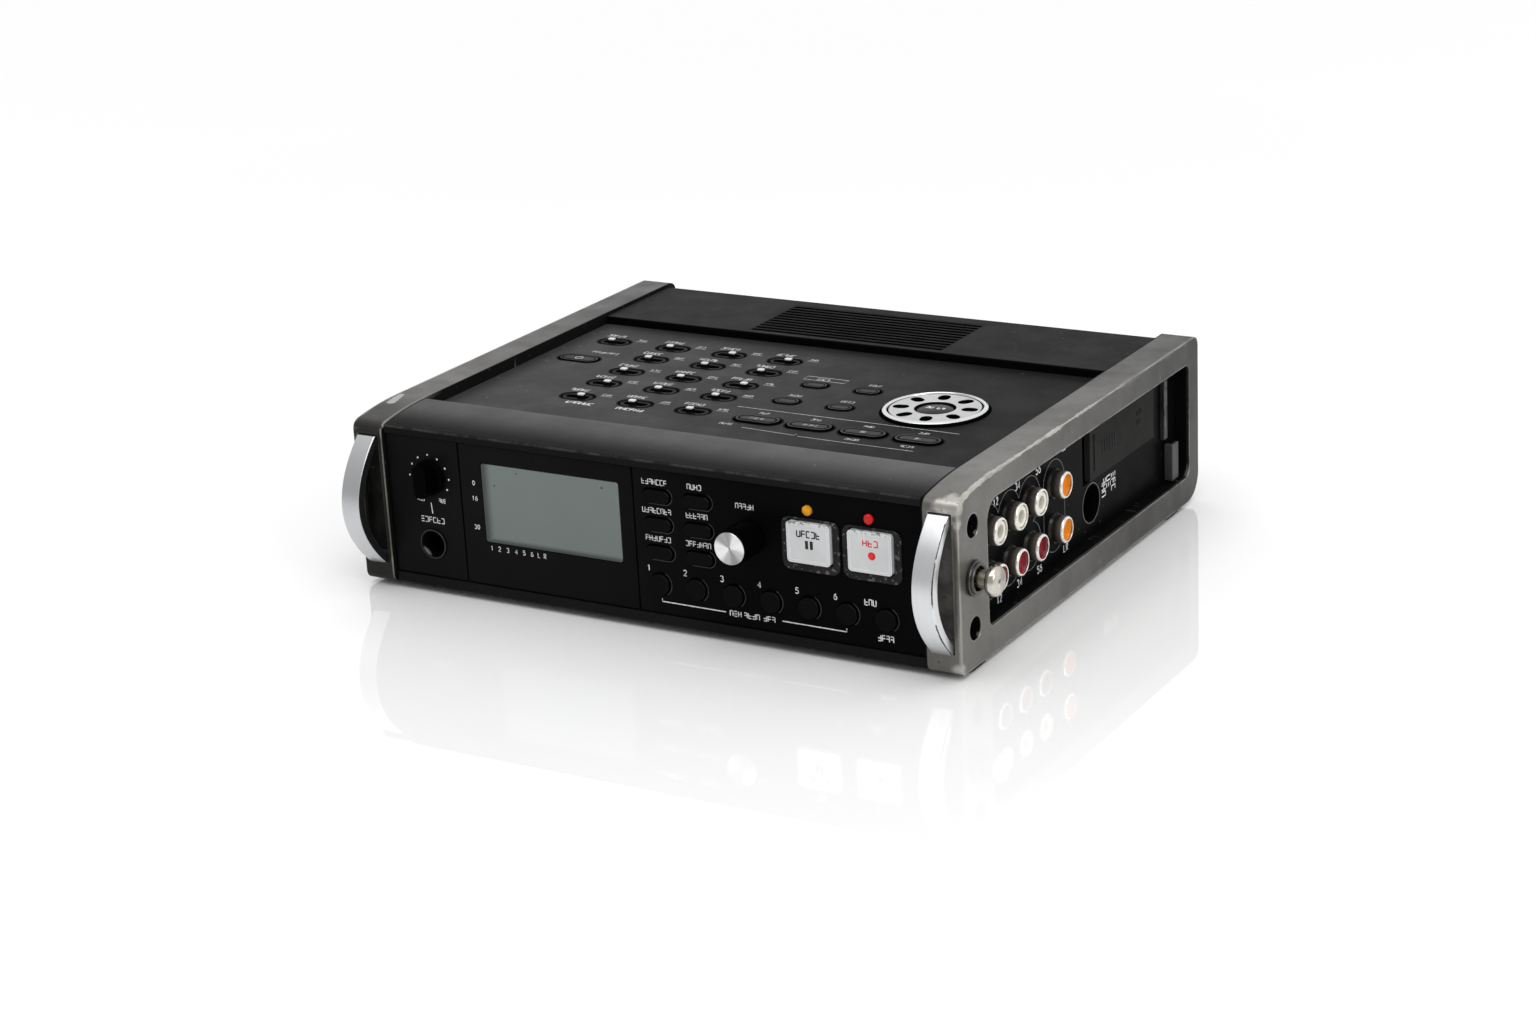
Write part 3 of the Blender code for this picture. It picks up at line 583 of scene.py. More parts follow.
BARE = (0.5, 0.48, 0.44)
ROUND_Z, ROUND_X = (1.0, 1.0, 0.0), (0.0, 1.0, 1.0)


def wear_right(look, depth, far):
    """Chipped outer top edge, widest at the front corner, a painted highlight along the front edge, and
    rubbed spots.
    """
    chips = look.plus(look.ragged(3.4, 38, 2, 0.5), look.ragged(2.0, 330, 5, 0.7))
    line = look.minus(look.steps(depth, 4, 24, 1.5 * MM, 0.85 * MM), look.plus(far, chips))
    fade = look.steps(depth, 128, 70, 0.1, 1.0)
    patchy = look.patches(140, 3, 0.35, 0.6, 0.45, 0.95)
    look.paint(look.times(look.steps(line, 0.0, 0.25), fade, patchy), BARE, 0.32, 0.85)
    # Painted highlight along the front outer edge.
    strip = look.plus(look.off_axis((FRAME_OUT, 0.4, 0), ROUND_Z), look.ragged(2.2, 90, 5, 0.7))
    look.paint(look.times(look.steps(strip, 1.1, 0.4), 0.42), BARE, 0.32, 0.85)
    for point, radius, rough in (
        ((102.5, 0.9, 52.2), 1.2, 4.0),
        ((106.6, 1.6, 52.4), 1.6, 4.0),
        ((104.6, 3.0, 54.0), 1.0, 4.0),
        ((107.8, 0.8, 47.0), 0.3, 3.0),
        ((107.4, 168.5, 11.5), 0.6, 2.0),
        ((107.0, 0.8, 1.6), 1.0, 2.0),
    ):
        look.paint(look.times(look.near(point, radius, 2.2, rough, 420), 0.8), BARE, 0.3, 0.85)


def wear_left(look, depth, z, far):
    """Worn top edge, painted shade on the front face, a painted highlight along the inner front edge, and a
    rubbed blot on top.
    """
    edge = look.plus(far, look.times(look.noise(120, 5, 0.7), 1.6 * MM))
    look.paint(look.times(look.steps(edge, 1.5, 1.1), 0.35), BARE, 0.35, 0.8)
    # Painted shade on the front face.
    front = look.times(look.within(depth, None, 1.2, 0.4), look.within(z, None, 53.0))
    look.paint(look.times(front, 0.9), (0.017, 0.016, 0.0135), 0.5, 0.1, 0.15)
    # Painted highlight along the inner front edge, broken into patches.
    lit = look.steps(look.off_axis((-FRAME_IN - 0.35, 0.35, 0), ROUND_Z), 0.95, 0.6)
    patchy_light = look.patches(60, 3, 0.3, 0.6, 0.3, 0.9)
    look.paint(look.times(lit, look.within(z, 3.0, 54.0), patchy_light), (0.3, 0.29, 0.26), 0.35, 0.7)
    for x, y, height, radius in (
        (-104.7, 16.6, 55.8, 1.4),
        (-105.0, 18.4, 55.9, 1.4),
        (-105.3, 20.2, 56.0, 1.3),
        (-105.6, 22.0, 56.0, 1.1),
        (-105.9, 23.8, 56.0, 0.8),
    ):
        look.paint(look.near((x, y, height), radius, 0.4, 0.8, 300), (0.36, 0.35, 0.325), 0.35, 0.7)


def lit_crease(look, out, depth, drop):
    """Painted highlight along the inner top edge of the left frame beside the band."""
    crease = look.steps(look.length(look.minus(out, FRAME_IN * MM), drop), 1.3, 0.8)
    patchy_light = look.patches(60, 3, 0.3, 0.6, 0.3, 0.9)
    return look.times(crease, look.steps(depth, 34, 20), patchy_light)


def cast_paint(name, side):
    """Warm grey metallic paint, rubbed bright on its edges and chipped along one of them, with painted light
    and shade.
    """
    right = side > 0
    look = Look(name, (0.118, 0.113, 0.105), 0.38, 0.5, 0.35)
    look.mottle(24, 0.14, 5).mottle(170, 0.07, 3)
    look.uneven(60, 0.07)
    x, y, z = (look.axis(i) for i in range(3))
    out = look.math("ABSOLUTE", x)
    depth = look.minus(y, FRONT_Y * MM)
    # Painted light and shade: the right frame is lit towards its front and falls darker towards the rear; the
    # left frame, a shaded copy, is darker still at its front end.
    look.dim(look.steps(depth, 20, 165, 1.12 if right else 0.6, 0.22))
    if not right:
        look.dim(look.steps(depth, 4, 46, 0.35, 1.0))
    rub = look.times(look.edges(0.9), look.patches(75, 5, 0.36, 0.58, 0.15, 1.0, 0.65))
    look.paint(look.times(rub, 0.75), (0.42, 0.405, 0.37), 0.3, 0.8)
    ahead = look.math("MAXIMUM", look.minus(BAND_REAR * MM, depth), 0.0)
    sunk = look.math("DIVIDE", look.times(ahead, ahead), 2 * BAND_RADIUS * MM)
    drop = look.minus(look.minus((FRAME_HEIGHT + FOOT_HEIGHT) * MM, sunk), z)
    far = look.length(look.minus(FRAME_OUT * MM, out), drop)
    if right:
        wear_right(look, depth, far)
    else:
        wear_left(look, depth, z, far)
    # Painted shade: dull black in the window, in the screw wells and on the face towards the deck.
    low, high = WINDOW[2] - 0.6 + FOOT_HEIGHT, WINDOW[3] + 0.7 + FOOT_HEIGHT
    window = look.times(look.within(out, None, 107.0), look.within(depth, 18.6, 171.0))
    look.paint(look.times(window, look.within(z, low, high)), 0.003, 0.6, 0.0, 0.03)
    look.paint(look.within(out, None, 96.9), 0.005, 0.6, 0.0, 0.05)
    if not right:
        # Painted highlight along the left frame's inner top edge.
        look.paint(lit_crease(look, out, depth, drop), (0.26, 0.25, 0.225), 0.35, 0.7)
    for well in WELLS:
        spot = look.steps(look.off_axis((0, PIN[0], well), ROUND_X), 4.0, 3.8)
        look.paint(look.times(spot, look.within(out, None, 107.75, 0.1)), 0.003, 0.6, 0.0, 0.05)
        if right:
            look.paint(look.near((107.8, 12.1, well - 2.7), 0.5, 0.4, 0.8, 500), BARE, 0.35, 0.85)
    # Painted shade in the pocket behind the handle, patchy like dirt, darkest on the left frame.
    pocket = look.times(look.within(depth, 1.4, 2.7), look.within(out, 98.4, 106.3))
    pocket = look.times(pocket, look.within(z, 8.0, 52.0))
    dirt_and_shade = look.patches(110, 5, 0.35, 0.65, 0.45 if right else 0.8, 1.0, 0.7)
    tone, gloss = ((0.035, 0.033, 0.03), 0.3) if right else ((0.006, 0.006, 0.0055), 0.05)
    look.paint(look.times(pocket, dirt_and_shade), tone, 0.6, 0.1, gloss)
    scratch = look.patches(90, 2, 0.69, 0.73, 0.0, 1.0, 0.5, look.scaled((1.0, 9.0, 1.0)))
    look.paint(look.times(scratch, 0.25), (0.28, 0.27, 0.25), 0.35)
    look.specks(900, (0.04, 0.04, 0.038), 0.76, 0.8)
    look.grain(1800, 0.01).grain(260, 0.018, 2.0)
    return look.settle()


def satin_bar(name, side):
    """Satin silver bar, brushed along its length, with nicks and a dark scratched edge; the left bar is a
    darker copy with painted shade and a face painted dark as shade.
    """
    # The left bar is a darker copy, for painted shade.
    look = Look(name, (0.72, 0.73, 0.745) if side > 0 else (0.58, 0.59, 0.605), 0.3, 1.0)
    along = look.scaled((6.0, 1.0, 0.6))
    look.mottle(160, 0.015, 2, along).mottle(22, 0.05, 2)
    look.uneven(300, 0.02, along)
    look.specks(420, 0.34, 0.76, 0.8, 0.4)
    if side > 0:
        line = look.steps(look.plus(look.axis(0), look.ragged(0.9, 260, 4, 0.7)), 105.42, 105.5)
        inward = look.minus(1.0, look.faces((1, 0, 0), 0.9, 0.97))
        look.paint(look.times(line, inward, look.patches(110, 3, 0.38, 0.46)), 0.03, 0.6, 0.2)
    else:
        # Painted shade on the left bar's face towards the middle.
        look.paint(look.faces((1, 0, 0), 0.8, 0.95), 0.02, 0.45, 0.5)
    look.grain(900, 0.0015, 2.0, along)
    return look.settle()


def moulding(
    name, colour, roughness, specular, mottle, grain, scale, dust=0.0, rub=1.0, painted_shading=None, glint=0.0
):
    """Moulded plastic: fine grain, slightly uneven tone and gloss, a little dust."""
    look = Look(name, colour, roughness, 0.0, specular)
    look.mottle(45, mottle, 5)
    look.uneven(70, 0.05)
    if dust:
        look.specks(700, dust, 0.755, 0.78, 0.7)
    worn = look.times(look.edges(0.35), look.patches(120, 4, 0.4, 0.62, 0.1, 0.7), rub)
    pale = tuple(min(1.0, c * 2.2 + 0.015) for c in shade(colour))
    look.paint(worn, pale, max(0.2, roughness - 0.1))
    if painted_shading:
        painted_shading(look)
    if glint:
        # Painted highlight along edges that face up and forward.
        front = look.faces((0.0, -0.8, 0.6), 0.86, 0.94)
        look.paint(look.times(front, look.patches(200, 3, 0.35, 0.6, 0.2, 1.0)), glint, 0.3)
    look.grain(scale, grain)
    return look.settle()


def deck_finish(look):
    """Painted light: paler towards the left, most of all beside the left frame; painted shade: dead black
    below the surface and in the gap round the speaker ring.
    """
    x = look.axis(0)
    look.dim(look.steps(x, -60, 80, 1.0, 0.5))
    look.specular = look.steps(x, -60, 80, 0.06, 0.015)
    look.dim(look.steps(x, -92, -70, 1.5, 1.0))
    low = look.within(look.axis(2), None, DECK_TOP + FOOT_HEIGHT - 0.3, 0.1)
    ring = look.steps(look.off_axis((*SPEAKER, 0), ROUND_Z), 17.9, 17.7)
    look.blacken(look.math("MAXIMUM", low, ring))


def cap_finish(look):
    """Painted shade: dead black on the rounded rims round the flat tops of the caps."""
    look.blacken(look.faces((0, 0, -1), -0.99, -0.9))


def band_finish(look):
    """Painted shade: the front of the band, where it falls away towards its lip, is painted dark, and its
    left end is darker; painted light makes its right end lighter.
    """
    look.dim(look.steps(look.axis(0), -60, 90, 0.84, 1.38))
    look.blacken(look.times(look.within(look.axis(1), None, 9.0 + FRONT_Y, 9.0), 0.8))


def lid_finish(look):
    """Painted shade: the grooved field is darker, and the grooves' floors and the lid's front face are black;
    painted light makes the left end lighter.
    """
    x, y, z = (look.axis(i) for i in range(3))
    across = look.math("ABSOLUTE", look.plus(x, 2.2 * MM))
    rows = look.within(y, 133.9 + FRONT_Y, 167.6 + FRONT_Y)
    look.dim(look.mix(look.times(rows, look.within(across, None, 37.2)), 1.0, 0.3))
    look.dim(look.steps(x, -90, 0.0, 1.25, 1.0))
    floors = look.times(rows, look.within(z, None, 54.85 + FOOT_HEIGHT, 0.08))
    front = look.within(y, None, DECK_REAR + 0.7 + FRONT_Y, 0.2)
    look.blacken(look.math("MAXIMUM", floors, front))


def fascia_finish(look):
    """Painted light: lighter towards the left, darker and duller towards the right."""
    x = look.axis(0)
    look.dim(look.steps(x, -40, 45, 1.15, 0.6))
    look.specular = look.steps(x, -40, 45, 0.045, 0.018)


def button_finish(look):
    """Painted highlight: light caught on the rounded rim, at its upper right."""
    look.paint(look.times(look.faces((0.55, -0.62, 0.56), 0.88, 0.97), 0.9), 0.15, 0.25)


def ring_finish(look):
    """Painted highlight makes the ring's rim brighter than its face; painted shade makes its slots, groove
    and hub seat black.
    """
    far = look.off_axis((*SPEAKER, 0), ROUND_Z)
    look.paint(look.steps(far, 15.1, 15.3), (0.7, 0.705, 0.71), 0.25)
    look.blacken(look.within(look.axis(2), None, DECK_TOP + FOOT_HEIGHT + 0.93, 0.04))


def pin_finish(look):
    """Painted reflection on the turned face of a strap pin: lighter towards the front and below, with a dark
    centre.
    """
    centre = place(0, *PIN)
    along = look.minus(look.axis(1), centre.y)
    up = look.minus(look.axis(2), centre.z)
    angle = look.math("ARCTAN2", up, along)
    fan = look.math("COSINE", look.plus(angle, -3.6))
    ripple = look.math("COSINE", look.plus(look.times(angle, 3.0), 1.0))
    look.paint(look.span(look.plus(fan, look.times(ripple, 0.4)), 0.9, -1.1), (0.335, 0.312, 0.278))
    look.paint(look.steps(look.length(along, up), 0.75, 0.3), (0.13, 0.12, 0.1), 0.4)


def bright_metal(name, colour, roughness, mottle, stretch=None, metallic=1.0, pits=0.0, painted_shading=None):
    """Plated or machined metal with fine unevenness."""
    look = Look(name, colour, roughness, metallic)
    vector = look.scaled(stretch) if stretch else None
    look.mottle(180, mottle, 4, vector)
    look.uneven(240, 0.05, vector)
    if pits:
        look.specks(900, tuple(c * pits for c in shade(colour)), 0.74, 0.78, 0.5)
    if painted_shading:
        painted_shading(look)
    look.grain(1500, 0.003, 3.0, vector)
    return look.settle()


def sleeve_metal(name):
    """Plated sleeve of a phono socket: bright at its mouth, brown and then nearly black further back."""
    look = Look(name, (0.78, 0.76, 0.72), 0.22, 1.0)
    darkening = look.plus(look.math("ABSOLUTE", look.axis(0)), look.ragged(0.8, 420, 3))
    look.paint(look.steps(darkening, PHONO_REACH - 0.3, PHONO_REACH - 1.1), (0.16, 0.14, 0.116), 0.3, 0.4)
    look.paint(look.steps(darkening, PHONO_REACH - 1.4, PHONO_REACH - 2.9), (0.026, 0.0225, 0.019), 0.36, 0.2)
    look.mottle(300, 0.08)
    look.uneven(240, 0.05)
    look.grain(1500, 0.003)
    return look.settle()


def spun_face(name, centre, colour):
    """Turned face: fine rings about the axis and a painted reflection, a fan of light and dark."""
    look = Look(name, [c * 0.36 for c in colour], 0.24, 1.0)
    offset = look.vector("SUBTRACT", look.where, tuple(centre))
    parts = look.node("SeparateXYZ", (offset,))
    angle = look.math("ARCTAN2", parts.outputs[2], parts.outputs[0])
    far = look.vector("LENGTH", offset)
    fan = look.math("SINE", look.plus(look.times(angle, 2.0), 0.7))
    wobble = look.math("SINE", look.times(angle, 7.0))
    look.paint(look.span(look.plus(fan, look.times(wobble, 0.3)), -1.2, 1.2), colour)
    rings = look.math("SINE", look.times(far, 26000.0))
    look.paint(look.steps(far, 0.45, 0.2), 0.12, 0.5)
    look.uneven(300, 0.06)
    look.grain(0, 0.004, height=rings)
    return look.settle()


def ink(name, colour, wear=0.5):
    """Screen-printed ink, a little broken up."""
    look = Look(name, colour, 0.6, 0.0, 0.2)
    look.mottle(600, 0.25, 3)
    look.paint(look.patches(1500, 3, 0.6, 0.72, 0.0, wear), tuple(c * 0.25 for c in shade(colour)), 0.6)
    look.grain(4000, 0.004)
    return look.settle()


def milky(name):
    """Milky acrylic key with painted highlights on its rims and a darker band near its top."""
    look = Look(name, (0.62, 0.635, 0.64), 0.22, 0.0, 0.5)
    look.mottle(60, 0.06, 4)
    # Painted highlights on the rims.
    look.paint(look.edges(0.5), (0.86, 0.87, 0.87), 0.15)
    upper = KEY_Z + FOOT_HEIGHT
    darkening = look.times(look.steps(look.axis(2), upper + 5.2, upper + 6.0), look.patches(900, 3, 0.5, 0.62))
    look.paint(darkening, (0.2, 0.21, 0.21), 0.35)
    look.put("Coat Weight", 0.4)
    look.put("Coat Roughness", 0.12)
    look.uneven(90, 0.05)
    look.grain(1200, 0.006)
    return look.settle()


def display_face(name):
    """Grey-green display with painted shade of its bezel towards its left and lower rims, and a few specks.
    """
    look = Look(name, (0.155, 0.185, 0.172), 0.2, 0.0, 0.35)
    look.mottle(14, 0.05, 3)
    left, low = DISPLAY[0] - DISPLAY[2] / 2, DISPLAY[1] - DISPLAY[3] / 2 + FOOT_HEIGHT
    # Painted shade of the bezel along the left and lower rims.
    dark_left = look.steps(look.axis(0), left + 4.2, left + 0.6)
    dark_low = look.steps(look.axis(2), low + 2.4, low + 0.5)
    both = look.math("MAXIMUM", dark_left, dark_low)
    look.paint(look.times(both, 0.85), (0.02, 0.025, 0.024), 0.25)
    look.specks(240, (0.03, 0.035, 0.034), 0.755, 0.77)
    look.uneven(40, 0.05)
    look.grain(1600, 0.003)
    return look.settle()


def lamp(name, colour, glow):
    look = Look(name, colour, 0.2, 0.0, 0.25)
    look.mottle(700, 0.2, 2)
    look.put("Emission Color", (*colour, 1.0))
    look.put("Emission Strength", glow)
    look.put("Coat Weight", 0.2)
    look.uneven(900, 0.04)
    look.grain(1800, 0.006)
    return look.settle()


def rough_rubber(name, colour, depth):
    """Coarse rubber with pale grit in it."""
    look = Look(name, colour, 0.75, 0.0, 0.25)
    look.mottle(160, 0.3, 5)
    look.specks(480, (0.11, 0.105, 0.095), 0.62, 0.7, 0.8)
    look.specks(1100, (0.2, 0.19, 0.17), 0.7, 0.74, 0.8)
    look.uneven(300, 0.1)
    look.grain(700, depth, 4.0)
    return look.settle()


def studio_gloss(name):
    """Glossy pale sheet whose polish fades away from the object."""
    look = Look(name, 0.87, 0.009, 0.0, 0.5)
    look.mottle(1.3, 0.003, 2)
    beyond = [look.minus(look.math("ABSOLUTE", look.axis(i)), half) for i, half in ((0, 0.108), (1, 0.083))]
    far = look.length(*[look.math("MAXIMUM", value, 0.0) for value in beyond])
    look.put("IOR", 1.9)
    look.paint(look.span(far, 0.25, 1.2), 0.99)
    look.specular = look.span(far, 0.0, 0.3, 0.3, 0.06)
    look.uneven(5, 0.003)
    return look.settle()


PAINT_RIGHT = cast_paint("frame_paint_right", 1)
PAINT_LEFT = cast_paint("frame_paint_left", -1)
BAR_RIGHT = satin_bar("satin_bar_right", 1)
BAR_LEFT = satin_bar("satin_bar_left", -1)
DECK_TONE, CAP_TONE, BAND_TONE = (0.022, 0.022, 0.0228), (0.0135, 0.0135, 0.014), (0.03, 0.03, 0.031)
PANEL_TONE, BUTTON_TONE = (0.004, 0.004, 0.0043), (0.0022, 0.0022, 0.0023)
COVER = moulding("cover_plastic", DECK_TONE, 0.42, 0.06, 0.08, 0.01, 3200, 0.1, 0.5, deck_finish)
CAP = moulding("cap_plastic", CAP_TONE, 0.36, 0.06, 0.08, 0.008, 3200, 0.0, 0.0, cap_finish, 0.1)
BEZEL = moulding("bezel_plastic", 0.004, 0.36, 0.02, 0.1, 0.006, 3200, 0.0, 0.0, None, 0.05)
# Black for painted shade: the outlines round the deck's holes and the lines round the caps' rims.
GLOSS = moulding("gloss_plastic", 0.002, 0.3, 0.005, 0.1, 0.004, 3200, 0.0, 0.0, None, 0.05)
BAND = moulding("band_plastic", BAND_TONE, 0.4, 0.2, 0.06, 0.008, 3200, 0.1, 0.3, band_finish, 0.035)
LID = moulding("lid_plastic", 0.014, 0.5, 0.02, 0.1, 0.012, 2600, 0.06, 0.2, lid_finish)
FASCIA = moulding("fascia_plastic", PANEL_TONE, 0.4, 0.045, 0.1, 0.005, 3400, 0.0, 0.35, fascia_finish)
PLATE = moulding("plate_plastic", (0.003, 0.0032, 0.0034), 0.34, 0.012, 0.25, 0.008, 2600, 0.06, 0.6)
BUTTON = moulding("button_plastic", BUTTON_TONE, 0.3, 0.04, 0.1, 0.006, 3000, 0.0, 0.5, button_finish)
KNOB = moulding("knob_plastic", 0.0011, 0.3, 0.012, 0.1, 0.006, 3000, 0.0, 0.25)
BLACK = moulding("black_plastic", 0.003, 0.5, 0.1, 0.15, 0.008, 2600, 0.0, 0.4)
DOOR = moulding("door_plastic", (0.021, 0.0207, 0.02), 0.55, 0.03, 0.18, 0.015, 1500)
GREY = moulding("grey_plastic", (0.05, 0.05, 0.049), 0.45, 0.25, 0.2, 0.02, 1500, 0.16)
RAIL = moulding("rail_plastic", (0.03, 0.0305, 0.032), 0.35, 0.2, 0.6, 0.02, 900, 0.3)
SWITCH_PLATE = moulding("switch_plate", 0.003, 0.5, 0.01, 0.1, 0.01, 2600, 0.0, 0.3)
TRAY = moulding("tray_paint", 0.007, 0.5, 0.06, 0.15, 0.015, 1600, 0.0, 0.15)
SILVER_TOP = moulding("silver_cap", 0.6, 0.3, 0.5, 0.06, 0.006, 2000)
CREAM = moulding("cream_plastic", (0.78, 0.76, 0.66), 0.35, 0.5, 0.06, 0.006, 2000)
CRIMSON = moulding("crimson_plastic", (0.2, 0.008, 0.014), 0.28, 0.2, 0.35, 0.006, 900)
ORANGE = moulding("orange_plastic", (0.8, 0.235, 0.0), 0.28, 0.2, 0.2, 0.006, 900)
HOLLOW = moulding("hollow_plastic", (0.09, 0.09, 0.07), 0.5, 0.2, 0.1, 0.006, 2000)
LENS = moulding("hub_lens", 0.006, 0.25, 0.08, 0.1, 0.004, 3000)
BOARD = moulding("board_laminate", (0.01, 0.06, 0.025), 0.5, 0.4, 0.2, 0.03, 900)
WRAP = moulding("cell_wrap", (0.2, 0.13, 0.03), 0.35, 0.5, 0.1, 0.004, 1200)
RUBBER = rough_rubber("foot_rubber", 0.01, 0.05)
GASKET = rough_rubber("gasket_rubber", 0.012, 0.12)
RING = bright_metal("ring_metal", (0.52, 0.525, 0.53), 0.3, 0.03, painted_shading=ring_finish)
WASHER = bright_metal("washer_metal", 0.7, 0.3, 0.05)
PIN_HEAD = bright_metal("pin_nickel", (0.62, 0.59, 0.53), 0.22, 0.05, pits=0.5, painted_shading=pin_finish)
STEEL = bright_metal("dark_steel", 0.05, 0.32, 0.2, pits=0.4)
DARK_RING = bright_metal("blued_ring", (0.09, 0.09, 0.088), 0.3, 0.15)
WARM = bright_metal("warm_nickel", (0.46, 0.42, 0.34), 0.24, 0.08, (0.3, 3.0, 3.0))
SLEEVE = sleeve_metal("phono_sleeve")
GUNMETAL = bright_metal("barrel_metal", (0.018, 0.016, 0.0135), 0.3, 0.25, None, 0.2)
CONTACT = bright_metal("contact_metal", (0.7, 0.66, 0.5), 0.25, 0.1)
GLASS = display_face("display_glass")
ACRYLIC = milky("key_acrylic")
AMBER = lamp("amber_lamp", (0.62, 0.26, 0.0), 0.08)
RED = lamp("red_lamp", (0.5, 0.004, 0.005), 0.08)
WHITE_INK = ink("white_ink", 0.72)
DIM_INK = ink("grey_ink", 0.46, 0.7)
FAINT_INK = ink("faint_ink", 0.2, 0.6)
# Painted highlight, made as an ink: light caught in chamfers and on the socket rim.
GLINT = ink("chamfer_glint", 0.055, 0.8)
DARK_INK = ink("dark_ink", 0.02, 0.2)
RED_INK = ink("red_ink", (0.72, 0.03, 0.025), 0.2)


# ---------------------------------------------------------------- side frames


def band_curve(inset, first, last, count):
    depths = [first + (last - first) * i / count for i in range(count + 1)]
    return [(y, FRAME_HEIGHT - inset - (BAND_REAR - y) ** 2 / (2 * BAND_RADIUS)) for y in depths]


def frame_outline():
    points = arc(FRAME_DEPTH - 9.0, 9.0, 9.0, -90, 0, 14)
    points += arc(FRAME_DEPTH - 3.6, FRAME_HEIGHT - 3.6, 3.6, 0, 90, 10)
    points += band_curve(0, 2.6, BAND_REAR, 14)[::-1]
    points += [(1.8, 53.85), (1.15, 53.45), (0.65, 52.95), (0.3, 52.4), (0.08, 51.8), (0.0, 51.1)]
    return points + arc(3.0, 3.0, 3.0, 180, 270, 8)


def window_outline():
    front, rear, low, high = WINDOW
    points = arc(front + 2.5, low + 2.5, 2.5, 180, 270, 8)
    points += arc(rear - 4.0, low + 4.0, 4.0, -90, 0, 8)
    points += arc(rear - 3.0, high - 3.0, 3.0, 0, 90, 8)
    return points + arc(front + 6.5, high - 6.5, 6.5, 90, 180, 12)


def show_pair(parts, side):
    """Show (object, material, node, slot) rows made for the right side, mirrored on the left."""
    for obj, look, node, slot in parts:
        show(obj if side > 0 else mirror(obj), look, node)


def build_frame(word, side, paint):
    casting = sheet("casting_" + word, [frame_outline(), window_outline()], FRAME_IN, FRAME_OUT, SIDE)
    bevel(casting, 0.95, 4, 50)
    cut(casting, box("pocket", (98.6, -3, 6.8), (106.1, 2.5, 50.2)))
    for z in WELLS:
        cut(casting, rod("well", 3.65, -6.0, 2, place(FRAME_OUT, PIN[0], z), SIDE, 40))
    cut(casting, rod("socket", 3.6, -8, 2, place(FRAME_OUT, *PIN), SIDE, 32))
    bevel(casting, 0.16, 2, 60)
    screws = []
    for z in WELLS:
        profile = [(0, -3.7), (1.2, -3.75), (2.2, -4.1), (2.9, -4.7), (3.1, -5.2), (3.1, -6.4), (0, -6.4)]
        screw = turned("screw", profile, place(FRAME_OUT, PIN[0], z), SIDE, 40)
        for a, b in ((0.35, 1.7), (1.7, 0.35)):
            low, high = (FRAME_OUT - 4.8, PIN[0] - a, z - b), (FRAME_OUT - 3, PIN[0] + a, z + b)
            cut(screw, box("recess", low, high))
        screws.append(screw)
    pads = []
    for y in (13.0, 158.0):
        outline = [(103.6 + v, y + u) for u, v in pill((14.0, 7.0))]
        pads.append(sheet("pad", [outline], -FOOT_HEIGHT, 0.4, TOP, 0.4, 3))
    screws, pads = merged("well_screws_" + word, screws), merged("foot_pads_" + word, pads)
    frame_row = (casting, paint, "side_frame_" + word, "frame_paint")
    show_pair((frame_row, (screws, STEEL, None, None), (pads, RUBBER, None, None)), side)


def build_handle(word, side, look):
    """A flat bar bowed forwards between two curves of different depth."""
    count, middle = 44, 28.5
    outer, inner = [], []
    inner_half = math.sqrt((9.0 - 0.8) / 0.0256)
    for i in range(count + 1):
        share = 1 - 2 * i / count
        rise = share * 21.4
        outer.append((0.0247 * rise**2 - 12.4, middle + rise))
        rise = share * inner_half
        inner.append((0.0256 * rise**2 - 9.0, middle + rise))
    rear = 2.2
    low = [(rear, outer[-1][1]), (rear, inner[-1][1])]
    high = [(rear, inner[0][1]), (rear, outer[0][1])]
    handle = sheet("bow_bar_" + word, [outer + low + inner[::-1] + high], 98.9, 105.8, SIDE, 0.38, 3, 50)
    show_pair([(handle, look, "handle_" + word, "satin_aluminium")], side)


def build_stud(word, side):
    washer = [(3.8, 1.8), (4.1, 2.05), (4.6, 2.05), (4.85, 1.8), (4.9, 1.3), (5.25, 1.25), (5.45, 1.0)]
    washer += [(5.45, 0.32), (3.8, 0.32), (3.8, 1.8)]
    stem = [(0, 5.4), (2.9, 5.4), (2.9, -7.5), (0, -7.5)]
    head = [(0, 8.2), (0.45, 8.25), (0.9, 8.5), (3.0, 8.66), (3.7, 8.55), (4.2, 8.25), (4.5, 7.8)]
    head += [(4.68, 7.2), (4.68, 6.4), (4.55, 5.8), (4.2, 5.3), (3.7, 5.02), (2.8, 5.0), (0, 5.0)]
    parts = []
    for name, profile, look, slot in (
        ("washer", washer, DARK_RING, None),
        ("stem", stem, WARM, None),
        ("head", head, PIN_HEAD, "nickel"),
    ):
        piece = turned(f"stud_{name}_{word}", profile, place(FRAME_OUT, *PIN), SIDE)
        parts.append((piece, look, "strap_pin_" + word, slot))
    show_pair(parts, side)


# ---------------------------------------------------------------- top


SWITCHES = [
    (f"{row}{number}", x, y)
    for row, y in zip("abcde", SWITCH_ROWS)
    for number, x in enumerate(SWITCH_COLUMNS if row == "a" else SWITCH_COLUMNS[1:], 1)
]


